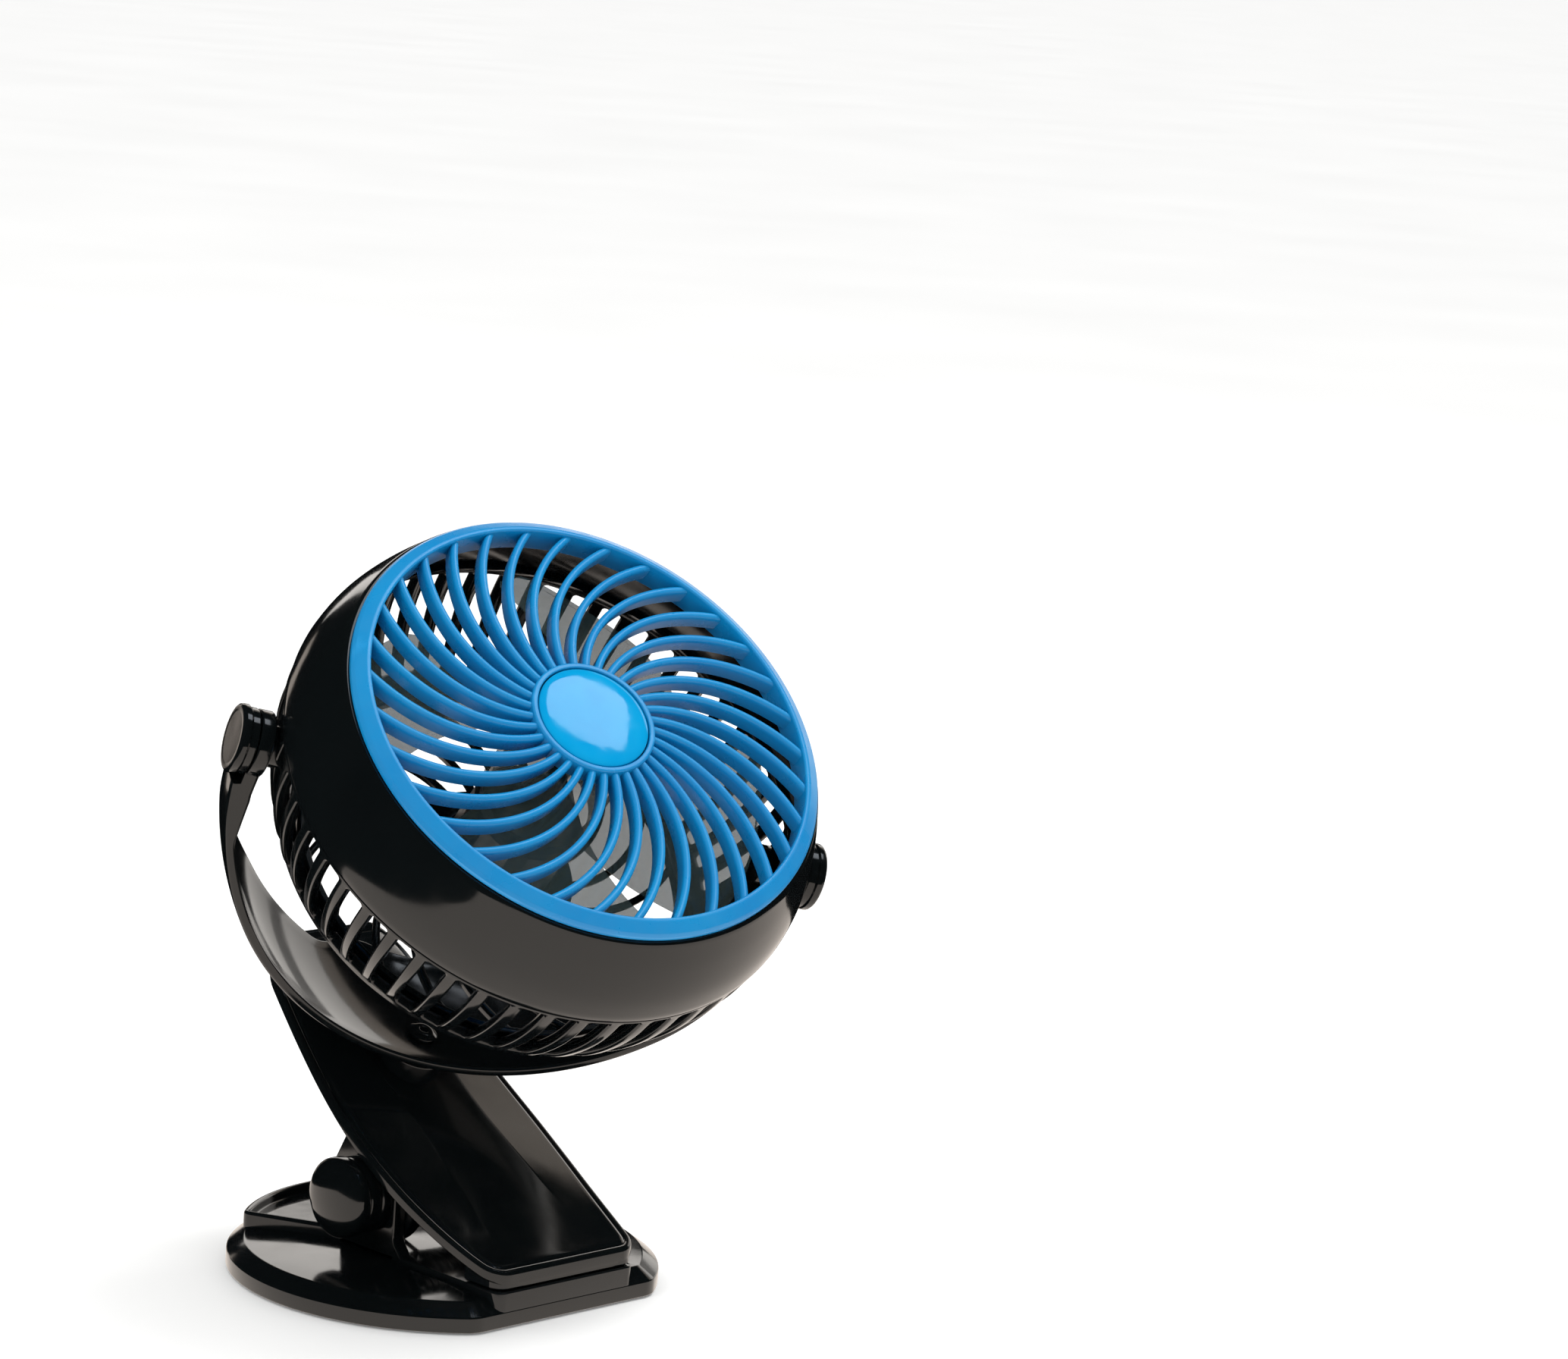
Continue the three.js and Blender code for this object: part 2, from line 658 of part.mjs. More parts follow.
// Torsion spring: one unbroken wire of a straight leg, the curls round the pin, and the other leg.
function springPath() {
  const half = (springCurls * springPitch) / 2;
  const lowAngle = springLowAngle * degrees;
  const highAngle = springHighAngle * degrees;
  const total = springCurls * 2 * Math.PI + Math.PI - (highAngle - lowAngle);
  const startAngle = lowAngle - Math.PI / 2;
  const at = (angle, x) => {
    const y = hingeY + springMeanRadius * Math.cos(angle);
    return new THREE.Vector3(x, y, hingeZ + springMeanRadius * Math.sin(angle));
  };
  const steps = Math.round((total / (2 * Math.PI)) * springSteps);
  const points = [];
  const start = at(startAngle, -half);
  const lowLeg = new THREE.Vector3(0, Math.cos(lowAngle), Math.sin(lowAngle));
  for (const t of [1, 0.5]) points.push(start.clone().addScaledVector(lowLeg, springLowLength * t));
  for (let i = 0; i <= steps; i++) {
    const t = i / steps;
    points.push(at(startAngle - total * t, -half + 2 * half * t));
  }
  const endAngle = startAngle - total;
  const highLeg = new THREE.Vector3(0, Math.sin(endAngle), -Math.cos(endAngle));
  const end = at(endAngle, half);
  for (const t of [0.5, 1]) points.push(end.clone().addScaledVector(highLeg, springHighLength * t));
  return points;
}

// A tube through the points, with its sections halfway between the bends' directions.
function wire(points, radius) {
  const sections = points.map((p, i) => {
    const before = points[Math.max(0, i - 1)];
    const after = points[Math.min(points.length - 1, i + 1)];
    const heading = after.clone().sub(before).normalize();
    const level = new THREE.Vector3(1, 0, 0);
    const first = level.addScaledVector(heading, -heading.x).normalize();
    const second = heading.clone().cross(first);
    return Array.from({ length: springSides }, (_, j) => {
      const angle = (j / springSides) * 2 * Math.PI;
      const point = p.clone().addScaledVector(first, radius * Math.cos(angle));
      return point.addScaledVector(second, radius * Math.sin(angle));
    });
  });
  return loft(sections, 'fan');
}

// Least distance between stretches of the wire's centreline that are more than half a curl apart, less the
// wire's diameter.
function leastGap(points, diameter) {
  const parts = 6; // measuring points in each step
  const fine = new THREE.CatmullRomCurve3(points).getSpacedPoints(points.length * parts);
  let least = Infinity;
  for (let i = 0; i < fine.length; i++) {
    for (let j = i + (springSteps / 2) * parts; j < fine.length; j++) {
      least = Math.min(least, fine[i].distanceTo(fine[j]));
    }
  }
  return least - diameter;
}

const springPoints = springPath();
console.log(`torsion spring: least gap to itself ${leastGap(springPoints, springWire).toFixed(2)} mm`);

// Yoke, in the pivot's frame
const yokeEarOuter = earInner + yokeEarThickness;
const knobInner = yokeEarOuter + gap;
const knobOuter = knobInner + knobThickness;

function yokeBand() {
  const steps = 26;
  const acrossCount = 5;
  const sections = [];
  for (let i = 0; i <= steps; i++) {
    const angle = ((i / steps) * 2 - 1) * 90;
    const reach = Math.abs(angle);
    const narrow = smooth((reach - 48) / 38);
    const tab = yokeTab * smooth((26 - reach) / 14);
    const front = -yokeFrontEdge + (yokeFrontEdge - yokeEndHalf) * narrow;
    const rear = yokeRearEdge + tab + (yokeEndHalf - yokeRearEdge) * narrow;
    const sin = Math.sin(angle * degrees);
    const cos = Math.cos(angle * degrees);
    const innerLimit = reach > 45 ? earInner / Math.abs(sin) : Infinity;
    const point = (radius, y) => {
      // the bow is dished: its faces are parts of spheres
      const dished = Math.sqrt(radius * radius - y * y);
      return new THREE.Vector3(dished * sin, y, -dished * cos);
    };
    const width = rear - front;
    const ys = Array.from({ length: acrossCount }, (_, j) => front + (width * j) / (acrossCount - 1));
    const outer = ys.map((y) => point(yokeRadius + yokeThickness, y));
    const inner = ys.map((y) => {
      const radius = Math.min(Math.sqrt(yokeRadius ** 2 - y * y), innerLimit);
      return new THREE.Vector3(radius * sin, y, -radius * cos);
    });
    sections.push([...outer, ...inner.reverse()]);
  }
  let body = loft(sections);
  // a round ear at each end, and round it a spot face that takes the knob
  for (const side of [-1, 1]) {
    const ear = side < 0 ? -yokeEarOuter : earInner;
    const recess = side < 0 ? -yokeEarOuter - knobThickness : yokeEarOuter;
    body = body.add(rodX(yokeEarRadius, ear, ear + yokeEarThickness, 0, 0));
    body = body.subtract(rodX(knobRadius + slip, recess, recess + knobThickness, 0, 0));
  }
  body = cut(body, rodX(studRadius + slip, -endless, endless, 0, 0, tinyFacets));
  // spot face under the screw head
  const spotFace = rod(swivelHeadRadius + 2 * gap, -yokeRadius - spotDepth, insideBow, tinyFacets);
  return cut(body, rod(swivelScrewRadius + slip, -endless, insideBow, tinyFacets), spotFace);
}

function swivelScrew() {
  const headBottom = -yokeRadius - spotDepth + gap;
  const headTop = headBottom + swivelHeadHeight;
  const head = turned([
    [0, headBottom], [swivelHeadRadius, headBottom], [swivelHeadRadius, headTop - 0.7],
    [swivelHeadRadius - 0.8, headTop], [0, headTop],
  ], smallFacets);
  const shank = rod(swivelScrewRadius, -armSeatBottom - 1, headBottom + 0.2, tinyFacets);
  return head.add(shank).subtract(crossRecess(swivelHeadRadius, headTop, 1.1));
}

function hexNut(flats, bore, z0, z1) {
  const nut = rod(flats / Math.sqrt(3), z0, z1, 6);
  return nut.subtract(rod(bore, z0 - 1, z1 + 1, tinyFacets));
}

const swivelWasher = cut(
  rod(swivelWasherRadius, -washerTop - swivelWasherThickness, -washerTop),
  rod(swivelScrewRadius + slip, -endless, insideBow, tinyFacets),
);
const nutTop = -armSeatBottom + nutPocketDepth - gap;
const swivelNut = hexNut(nutFlats, swivelScrewRadius + gap, nutTop - nutHeight, nutTop);

// Knob, stud and threaded insert lie along X, on the right for side 1.
function tiltKnob(side) {
  const bore = studRadius + gap;
  const floor = knobOuter - knobWall;
  const profile = [
    [bore, knobInner], [knobBarrel - 0.4, knobInner], [knobBarrel, knobInner + 0.4],
    [knobBarrel, knobInner + 2.2], [knobRadius, knobInner + 2.7], [knobRadius, knobOuter - 0.8],
    [knobRadius - 0.8, knobOuter], [0, knobOuter - 0.25], [0, floor], [bore, floor],
  ];
  return about(turned(profile, smallFacets), 0, 0, 0, 0, (side * Math.PI) / 2, 0);
}

function tiltStud(side) {
  const outer = knobOuter - knobWall - gap;
  const inner = insertInner + 1;
  const [x0, x1] = side < 0 ? [-outer, -inner] : [inner, outer];
  return rodX(studRadius, x0, x1, 0, 0, tinyFacets);
}

const insertOuter = earInner - 2 * gap;
const insertLength = 6.5;
const insertInner = insertOuter - insertLength;

function threadInsert(side) {
  const [x0, x1] = side < 0 ? [-insertOuter, -insertInner] : [insertInner, insertOuter];
  const bore = rodX(studRadius + gap, x0 - 1, x1 + 1, 0, 0, tinyFacets);
  return rodX(insertRadius, x0, x1, 0, 0, tinyFacets).subtract(bore);
}

// Fan head, in its own frame
// The drum's outline: it swells from the ring to the crease, then draws in to the rear edge.
const drumProfile = [
  [rearEdgeZ - 2, rearEdgeRadius - 1.4], [rearEdgeZ, rearEdgeRadius], [-20, shellBulge - 9.4],
  [-10, shellBulge - 4.7], [0, shellBulge - 1.7], [creaseZ, shellBulge - 0.4], [shellBulgeZ, shellBulge],
  [20, shellBulge - 0.9], [28, shellBulge - 3.4], [shellFront, shellFrontRadius],
];

function drumRadius(z) {
  return along(drumProfile, z);
}

// The front shell's bore, a plain cone behind its swelling outside.
function shellBore(z) {
  const ends = [[creaseZ, drumRadius(creaseZ) - shellWall], [shellFront, shellFrontRadius - shellWall]];
  return along(ends, z);
}

function frontShell() {
  const outer = [creaseZ + gap, shellBulgeZ, 20, 28, shellFront].map((z) => [drumRadius(z), z]);
  const inner = [shellFront, creaseZ + gap].map((z) => [shellBore(z), z]);
  return turned([...outer, ...inner], barFacets).rotate([0, 0, betweenBars]);
}

function ringProfile() {
  const inner = ringRadius - ringWidth;
  const seat = shellFrontRadius - shellWall - gap;
  return [
    [inner, ringFront + ringRise], [ringRadius - 0.8, ringFront + 1], [ringRadius, ringFront],
    [ringRadius, shellFront + gap], [seat, shellFront + gap], [seat, shellFront - ringSpigot],
    [inner, shellFront - ringSpigot],
  ];
}

// A swept rib from an inner to an outer radius, turning by sweep on the way, with its front face at z.
function spiralRib(start, r0, r1, sweep, width, front, depth, steps, bend) {
  const sections = [];
  for (let i = 0; i <= steps; i++) {
    const t = i / steps;
    const radius = r0 + (r1 - r0) * t;
    const angle = start - sweep * degrees * t ** bend;
    const slope = i === 0 ? 0 : (-sweep * degrees * bend * t ** (bend - 1) * radius) / (r1 - r0);
    const heading = angle + Math.atan(slope);
    const side = polar(width / 2, heading + Math.PI / 2, 0);
    const z = front(radius);
    const high = polar(radius, angle, z);
    const low = polar(radius, angle, z - depth);
    const corner = (p, way) => p.clone().addScaledVector(side, way);
    sections.push([corner(high, -1), corner(high, 1), corner(low, 1), corner(low, -1)]);
  }
  return loft(sections);
}

const hubRingBack = hubRingFront - hubRingDepth;
const hubFloorFront = hubRingBack + hubFloor;

function frontGrille() {
  const seatRadius = hubRingRadius - hubRingWidth;
  const hub = turned([
    [0, hubRingBack], [hubRingRadius, hubRingBack], [hubRingRadius, hubRingFront - 0.5],
    [hubRingRadius - 0.5, hubRingFront], [seatRadius, hubRingFront], [seatRadius, hubFloorFront],
    [0, hubFloorFront],
  ], middleFacets).rotate([0, 0, 180 / grilleRibs]);
  const inner = ringRadius - ringWidth;
  const highest = hubRingFront - 0.7;
  const lowest = ringFront + ringRise - 0.9;
  const front = (radius) => along([[hubRingRadius, highest], [inner, lowest]], radius);
  const ribs = Array.from({ length: grilleRibs }, (_, i) => {
    const start = (i / grilleRibs) * 2 * Math.PI;
    const [r0, r1] = [hubRingRadius - 0.8, inner + 1];
    return spiralRib(start, r0, r1, grilleRibSweep, grilleRibWidth, front, grilleRibDepth, 3, grilleRibBend);
  });
  return join(turned(ringProfile()), hub, ...ribs).rotate([0, 0, grillePhase]);
}

function grilleCap() {
  const back = hubFloorFront + gap;
  const radius = hubRingRadius - hubRingWidth - gap;
  const front = hubRingFront - 0.4;
  return turned([
    [0, back], [radius, back], [radius, front - 0.4], [radius - 0.5, front],
    [radius * 0.55, front + capDome * 0.74], [0, front + capDome],
  ], middleFacets);
}

// One slanted bar of the slotted side, from the crease ring to the rear ring.
function sideBar(angle, width, endWidth) {
  const heights = [slotTopZ + 0.8, -8, rearEdgeZ - 0.6];
  const radii = heights.map((z) => drumRadius(z) - sideBarInset);
  const top = heights[0];
  const sections = heights.map((z, i) => {
    const before = Math.max(0, i - 1);
    const after = Math.min(heights.length - 1, i + 1);
    const run = new THREE.Vector2(radii[after] - radii[before], heights[after] - heights[before]);
    run.normalize();
    const outward = new THREE.Vector2(-run.y, run.x); // square to the outline, pointing out of the drum
    const t = (top - z) / (top - rearEdgeZ);
    const here = angle + sideBarTwist * degrees * t;
    const half = (width + (endWidth - width) * smooth(t)) / 2;
    const side = new THREE.Vector3(-Math.sin(here), Math.cos(here), 0);
    const skin = polar(radii[i], here, z);
    const core = polar(radii[i] - outward.x * sideBarDepth, here, z - outward.y * sideBarDepth);
    const offset = (p, s) => p.clone().addScaledVector(side, s);
    return [offset(skin, -half), offset(skin, half), offset(core, half), offset(core, -half)];
  });
  return loft(sections);
}

// A ring of as many facets as there are bars, turned by this much, meets each bar in the middle of a facet.
const betweenBars = sideBarPhase + 180 / sideBars;

// The ring round the rear face, whose flat top takes the ends of the bars.
const rearRingTop = rearEdgeZ + 1.8;
const rearRingBore = drumRadius(rearRingTop) - rearRingWidth;
const rearRingProfile = [
  [rearRingBore, rearRingTop], [rearRingBore, rearEdgeZ - 1.8],
  [rearEdgeRadius - 1, rearEdgeZ - 2], [drumRadius(rearRingTop) + 0.1, rearRingTop],
];

function rearShell() {
  const spigot = creaseZ + 3;
  const crown = turned([
    [drumRadius(slotTopZ), slotTopZ], [drumRadius(creaseZ), creaseZ], [shellBore(creaseZ) - gap, creaseZ],
    [shellBore(spigot) - gap, spigot], [shellBore(spigot) - 2, spigot], [shellBore(spigot) - 2, slotTopZ],
  ], barFacets).rotate([0, 0, betweenBars]);
  const rearRing = turned(rearRingProfile, barFacets).rotate([0, 0, betweenBars + sideBarTwist]);
  // the bars' places go round evenly; on each side, the two nearest the tilt pivot give way to one wide bar
  const half = sideBars / 2;
  const bars = [];
  for (let i = 0; i < sideBars; i++) {
    if (i % half === 0 || i % half === half - 1) continue;
    const angle = (i / sideBars) * 2 * Math.PI + sideBarPhase * degrees;
    bars.push(sideBar(angle, sideBarTopWidth, sideBarEndWidth));
  }
  const wideAngle = (sideBarPhase - 180 / sideBars) * degrees;
  for (const angle of [wideAngle, wideAngle + Math.PI]) {
    bars.push(sideBar(angle, pivotBarWidth, pivotBarEndWidth));
  }
  let body = join(crown, rearRing, ...bars);
  for (const side of [-1, 1]) {
    // boss where the tilt pivot enters the drum
    const x0 = side < 0 ? -insertOuter : insertInner - 0.5;
    const length = insertOuter - insertInner + 0.5;
    body = body.add(rodX(pivotBossRadius, x0, x0 + length, 0, 0, tinyFacets));
  }
  return cut(body, rodX(insertRadius + gap / 2, -endless, endless, 0, 0, tinyFacets));
}

const rearHubBack = rearFaceZ - 0.4;
const rearHubFront = rearFaceZ + 2.6;

// The round grille inside the rear ring, with the hub that carries the motor.
function rearGrille() {
  const seat = rearRingBore - gap;
  const rim = turned([
    [seat - rearRimWidth, rearRingTop - 0.4], [seat - rearRimWidth, rearEdgeZ - 1.6],
    [seat, rearEdgeZ - 1.6], [seat, rearRingTop - 0.4],
  ], barFacets).rotate([0, 0, betweenBars + sideBarTwist]);
  // the rear face bulges from the rim to the hub
  const ribRear = rearFaceZ + 2.2;
  const face = (radius) => along([[rearHubRadius, ribRear], [rearEdgeRadius, ribRear + rearBulge]], radius);
  const ribs = Array.from({ length: rearRibs }, (_, i) => {
    const start = (i / rearRibs) * 2 * Math.PI;
    const [r0, r1] = [rearHubRadius - 1, seat - 1];
    return spiralRib(start, r0, r1, -rearRibSweep, rearRibWidth, face, rearRibWidth, 2, 1.2);
  });
  const collar = rearHubFront + 3.4;
  const hub = turned([
    [0, rearHubBack], [rearHubRadius, rearHubBack], [rearHubRadius, rearHubFront],
    [motorRadius + 2.2, rearHubFront], [motorRadius + 2.2, collar], [motorRadius + slip, collar],
    [motorRadius + slip, rearHubFront], [0, rearHubFront],
  ], middleFacets);
  const through = [rearHubBack - 1, rearHubFront + 1];
  const screws = [0, 1, 2].map((i) => onScrewCircle(rod(motorScrewRadius + 0.7, ...through, screwFacets), i));
  const wireHole = rod(wireHoleRadius, ...through, tinyFacets);
  return cut(join(rim, hub, ...ribs), wireHole, ...screws, ...coverHooks(gap));
}

// A body moved from the fan axis to one of the three screws that hold the motor.
function onScrewCircle(body, i) {
  const angle = ((i + 0.25) / 3) * 2 * Math.PI;
  return body.translate([motorScrewCircle * Math.cos(angle), motorScrewCircle * Math.sin(angle), 0]);
}

const hookInner = rearHubRadius - hookInset;

// A body turned about the fan axis by a share of a whole turn.
function aboutAxis(body, share) {
  return body.rotate([0, 0, share * 360]);
}

// Four snap hooks of the motor cover, through windows in the rear hub.
function coverHooks(extra) {
  return [0, 1, 2, 3].map((i) => {
    const half = hookWidth / 2 + extra;
    const [r0, r1] = [hookInner - extra, hookInner + hookThickness + extra];
    const hook = block(r0, r1, -half, half, coverFront - hookRoot, rearFaceZ + 2.2 + extra);
    return aboutAxis(hook, (i + 0.5) / 4);
  });
}

const motorRear = rearHubFront + gap;
const motorFront = motorRear + motorLength;

function motorCan() {
  const bearing = motorFront + motorBearing;
  const can = turned([
    [0, motorRear], [motorRadius, motorRear], [motorRadius, motorFront - 1], [motorRadius - 1, motorFront],
    [4, motorFront], [4, bearing], [0, bearing],
  ], smallFacets);
  const bore = rod(motorScrewRadius + 0.2, motorRear - 1, motorRear + 3, screwFacets);
  const bores = [0, 1, 2].map((i) => onScrewCircle(bore, i));
  return cut(can, rod(shaftRadius + gap, motorRear + 4, bearing + 1, tinyFacets), ...bores);
}

function motorScrew(i) {
  const head = rod(2.6, coverFront - 1.5, coverFront, tinyFacets);
  const shank = rod(motorScrewRadius, coverFront - 0.2, motorRear + 2.4, screwFacets);
  return onScrewCircle(head.add(shank), i);
}

const coverFront = rearHubBack - gap;
const coverRear = coverFront - coverDepth;
const boardTop = coverFront - 2.4;
const boardRadius = rearHubRadius - 4.8;
const socketCentre = -(rearHubRadius - 4.2); // on the cover's lower side
const socketZ = boardTop - boardThickness - gap - socketHeight / 2;

function motorCover() {
  const rim = rearHubRadius;
  const floor = coverRear + coverWall;
  const outer = [
    [0, coverRear], [rim - 5.5, coverRear], [rim - 2, coverRear + 1.4], [rim - 0.4, coverRear + 4],
    [rim, coverFront],
  ];
  const inner = [
    [rim - coverWall, coverFront], [rim - 2.2, coverRear + 4.4], [rim - 3.4, coverRear + 2.6],
    [rim - 6, floor], [0, floor],
  ];
  const shell = turned([...outer, ...inner], smallFacets);
  // each hook stands on a root that joins it to the cover's wall
  const half = hookWidth / 2;
  const root = block(hookInner, rearHubRadius - 1, -half, half, coverFront - hookRoot, coverFront);
  const roots = [0, 1, 2, 3].map((i) => aboutAxis(root, (i + 0.5) / 4));
  // three posts carry the circuit board
  const post = rod(1.8, coverRear + 1, boardTop - boardThickness - gap, tinyFacets);
  const posts = [0, 1, 2].map((i) => aboutAxis(post.translate([boardPostCircle, 0, 0]), (i + 0.75) / 3));
  const [w, h] = [socketWidth / 2 + gap, socketHeight / 2 + gap];
  const window = block(-w, w, socketCentre - 8, socketCentre + 2, socketZ - h, socketZ + h);
  const stemHole = rod(dialStemRadius + slip, coverRear - 1, floor + 1, tinyFacets);
  return cut(join(shell, ...coverHooks(0), ...roots, ...posts), stemHole, window);
}

function speedDial() {
  const face = coverRear - gap;
  const back = face - dialHeight;
  const profile = [[0, face], [dialRadius, face], [dialRadius, face - 1], [dialRadius - 1, back], [0, back]];
  const grip = turned(profile, smallFacets);
  const stem = rod(dialStemRadius, face - 0.5, boardTop - boardThickness - gap - 0.1, tinyFacets);
  const notch = block(dialRadius - 0.5, dialRadius + 1, -0.6, 0.6, back - 1, face - 1);
  const notches = Array.from({ length: dialNotches }, (_, i) => aboutAxis(notch, i / dialNotches));
  const pointer = block(-0.5, 0.5, 2.6, dialRadius - 1.6, back - 1, back + 0.5);
  return cut(grip.add(stem), ...notches, pointer);
}

function circuitBoard() {
  const board = rod(boardRadius, boardTop - boardThickness, boardTop, middleFacets);
  const wide = boardRadius + 1;
  const clear = block(-wide, wide, -wide, socketCentre + 1.5, boardTop - boardThickness - 1, boardTop + 1);
  return board.subtract(clear);
}

function usbSocket() {
  const half = socketHeight / 2;
  const front = -(rearHubRadius - 0.9);
  const centre = socketWidth / 2 - half;
  const outline = (radius) => [
    ...arc(-centre, 0, radius, Math.PI / 2, Math.PI * 1.5, 5),
    ...arc(centre, 0, radius, -Math.PI / 2, Math.PI / 2, 5),
  ];
  const mouth = slab(outline(half - socketWall), socketDepth * 0.25, socketDepth + 1);
  const tongue = block(-3.1, 3.1, -0.35, 0.35, 1, socketDepth - 1);
  const body = slab(outline(half), 0, socketDepth).subtract(mouth).add(tongue);
  // the mouth faces -Y, towards the cover's lower edge
  return about(body, 0, front + socketDepth, socketZ, Math.PI / 2, 0, 0);
}

// Rotor
const shaftRear = motorRear + 4.6;
const rotorRear = motorFront + motorBearing + 2 * gap;

function rotorBlade(start) {
  const steps = 5;
  const chordPoints = 5;
  const sections = [];
  for (let i = 0; i <= steps; i++) {
    const t = i / steps;
    const radius = rotorHubRadius - 0.8 + (bladeRadius - rotorHubRadius + 0.8) * t;
    // the blade widens outwards, and its leading edge sweeps forward
    const span = (bladeSpan + bladeFan * t) * (i === steps ? 0.8 : 1);
    const lead = start + (bladeLead * t - 4) * degrees;
    const front = bladeFrontZ - bladeFrontFall * t;
    const rear = bladeRearZ + bladeRearRise * t;
    const upper = [];
    const lower = [];
    for (let j = 0; j < chordPoints; j++) {
      const s = j / (chordPoints - 1);
      const angle = lead - span * degrees * s + (i === steps ? -0.1 * span * degrees : 0);
      const camber = bladeCamber * Math.sin(Math.PI * s);
      const z = front + (rear - front) * s - camber;
      const thin = bladeThickness * (j === 0 || j === chordPoints - 1 ? 0.35 : 0.5);
      upper.push(polar(radius, angle, z + thin));
      lower.push(polar(radius, angle, z - thin));
    }
    sections.push([...upper, ...lower.reverse()]);
  }
  return loft(sections);
}

function fanBlades() {
  const front = bladeFrontZ + 2.5;
  const r = rotorHubRadius;
  const tube = shaftRadius + 2.2;
  const bore = shaftRadius + gap;
  const skirt = rotorRear + 4;
  const shell = turned([
    [tube, rotorRear], [tube, front - 2], [r - 1.6, front - 2], [r - 1.6, skirt], [r, skirt],
    [r, front - 2.4], [r - 3, front], [bore, front], [bore, rotorRear],
  ], smallFacets);
  const blades = Array.from({ length: bladeCount }, (_, i) => rotorBlade((i / bladeCount) * 2 * Math.PI));
  const core = rod(r - 1, rotorRear - 10, front - 1.9, smallFacets);
  return shell.add(join(...blades).subtract(core));
}

const motorShaft = rod(shaftRadius, shaftRear, bladeFrontZ + 3.6, tinyFacets);

// Assembly
piece('base_pad', restPad, rubber);
piece('base_plate', basePlate(), blackGloss);
screwPlaces.forEach(([x, y], i) => piece(`base_screw_${i + 1}`, baseScrew(x, y), steel));
piece('base_shell', baseShell(), blackGloss);
piece('lower_jaw_pad', jawPad(true), rubber);
piece('hinge_pin', hingePin, steel);
piece('hinge_cap_left', hingeCap(-1, leftCollar), blackGloss);
piece('hinge_cap_right', hingeCap(1, rightCollar), blackGloss);
piece('torsion_spring', wire(springPoints, springWire / 2), steel);

piece('arm_shell', armShell(), blackGloss);
piece('upper_jaw_pad', jawPad(false), rubber);

// the swivel axis leans forward, and the tilt pivot is its zero
const swivel = new THREE.Group();
swivel.position.set(0, pivotY, pivotZ);
swivel.rotation.x = swivelLean * degrees;
fan.add(swivel);
piece('swivel_screw', swivelScrew(), steel, swivel);
piece('swivel_washer', swivelWasher, steel, swivel);
piece('swivel_nut', swivelNut, steel, swivel);

const yoke = new THREE.Group();
yoke.rotation.z = swivelRest * degrees;
swivel.add(yoke);
piece('yoke', yokeBand(), blackGloss, yoke);
piece('tilt_knob_left', tiltKnob(-1), blackGloss, yoke);
piece('tilt_knob_right', tiltKnob(1), blackGloss, yoke);
piece('tilt_stud_left', tiltStud(-1), steel, yoke);
piece('tilt_stud_right', tiltStud(1), steel, yoke);

const head = new THREE.Group();
head.rotation.x = tiltRest * degrees;
yoke.add(head);
piece('thread_insert_left', threadInsert(-1), brass, head);
piece('thread_insert_right', threadInsert(1), brass, head);
piece('front_grille', frontGrille(), blueGloss, head);
piece('grille_cap', grilleCap(), blueCap, head);
piece('front_shell', frontShell(), blackGloss, head);
piece('rear_shell', rearShell(), blackGloss, head);
piece('rear_grille', rearGrille(), blackGloss, head);
piece('motor', motorCan(), steel, head);
[0, 1, 2].forEach((i) => piece(`motor_screw_${i + 1}`, motorScrew(i), steel, head));
piece('motor_cover', motorCover(), blackGloss, head);
piece('circuit_board', circuitBoard(), boardGreen, head);
piece('usb_socket', usbSocket(), steel, head);
piece('speed_dial', speedDial(), blackGloss, head);

piece('fan_blades', fanBlades(), smokeClear, head);
piece('motor_shaft', motorShaft, steel, head);

export default fan;
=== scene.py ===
# Clip fan with a blue spiral grille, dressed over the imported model: spring clip, yoke and tilting head.
import math

import bmesh
import bpy
from mathutils import Matrix, Vector


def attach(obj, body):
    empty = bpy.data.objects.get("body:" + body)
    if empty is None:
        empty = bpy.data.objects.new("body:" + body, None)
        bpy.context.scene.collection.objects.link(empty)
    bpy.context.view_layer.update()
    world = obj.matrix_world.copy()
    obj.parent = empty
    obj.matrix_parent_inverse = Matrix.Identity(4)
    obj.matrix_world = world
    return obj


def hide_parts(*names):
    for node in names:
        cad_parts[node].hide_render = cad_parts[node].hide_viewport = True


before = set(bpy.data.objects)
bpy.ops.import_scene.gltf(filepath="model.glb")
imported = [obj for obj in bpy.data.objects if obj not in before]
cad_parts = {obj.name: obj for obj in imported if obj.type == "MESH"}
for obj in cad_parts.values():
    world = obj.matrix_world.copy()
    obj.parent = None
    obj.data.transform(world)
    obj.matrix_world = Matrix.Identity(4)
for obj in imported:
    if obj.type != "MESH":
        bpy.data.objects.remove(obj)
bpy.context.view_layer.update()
print("frame loaded:", len(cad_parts), "parts")

# lengths are millimetres until a mesh is made, angles are degrees
pivot = {"y": -23.7, "z": 132.5, "lean": 28.3, "turn": -28.7, "tilt": 17.1}
slip = 0.3  # clearance between neighbouring pieces


def turnAbout(axis, angle):
    return Matrix.Rotation(math.radians(angle), 4, axis)


standPlace = Matrix.Identity(4)
swivelPlace = Matrix.Translation((0, pivot["y"], pivot["z"])) @ turnAbout("X", pivot["lean"])
yokePlace = swivelPlace @ turnAbout("Z", pivot["turn"])
headPlace = yokePlace @ turnAbout("X", pivot["tilt"])


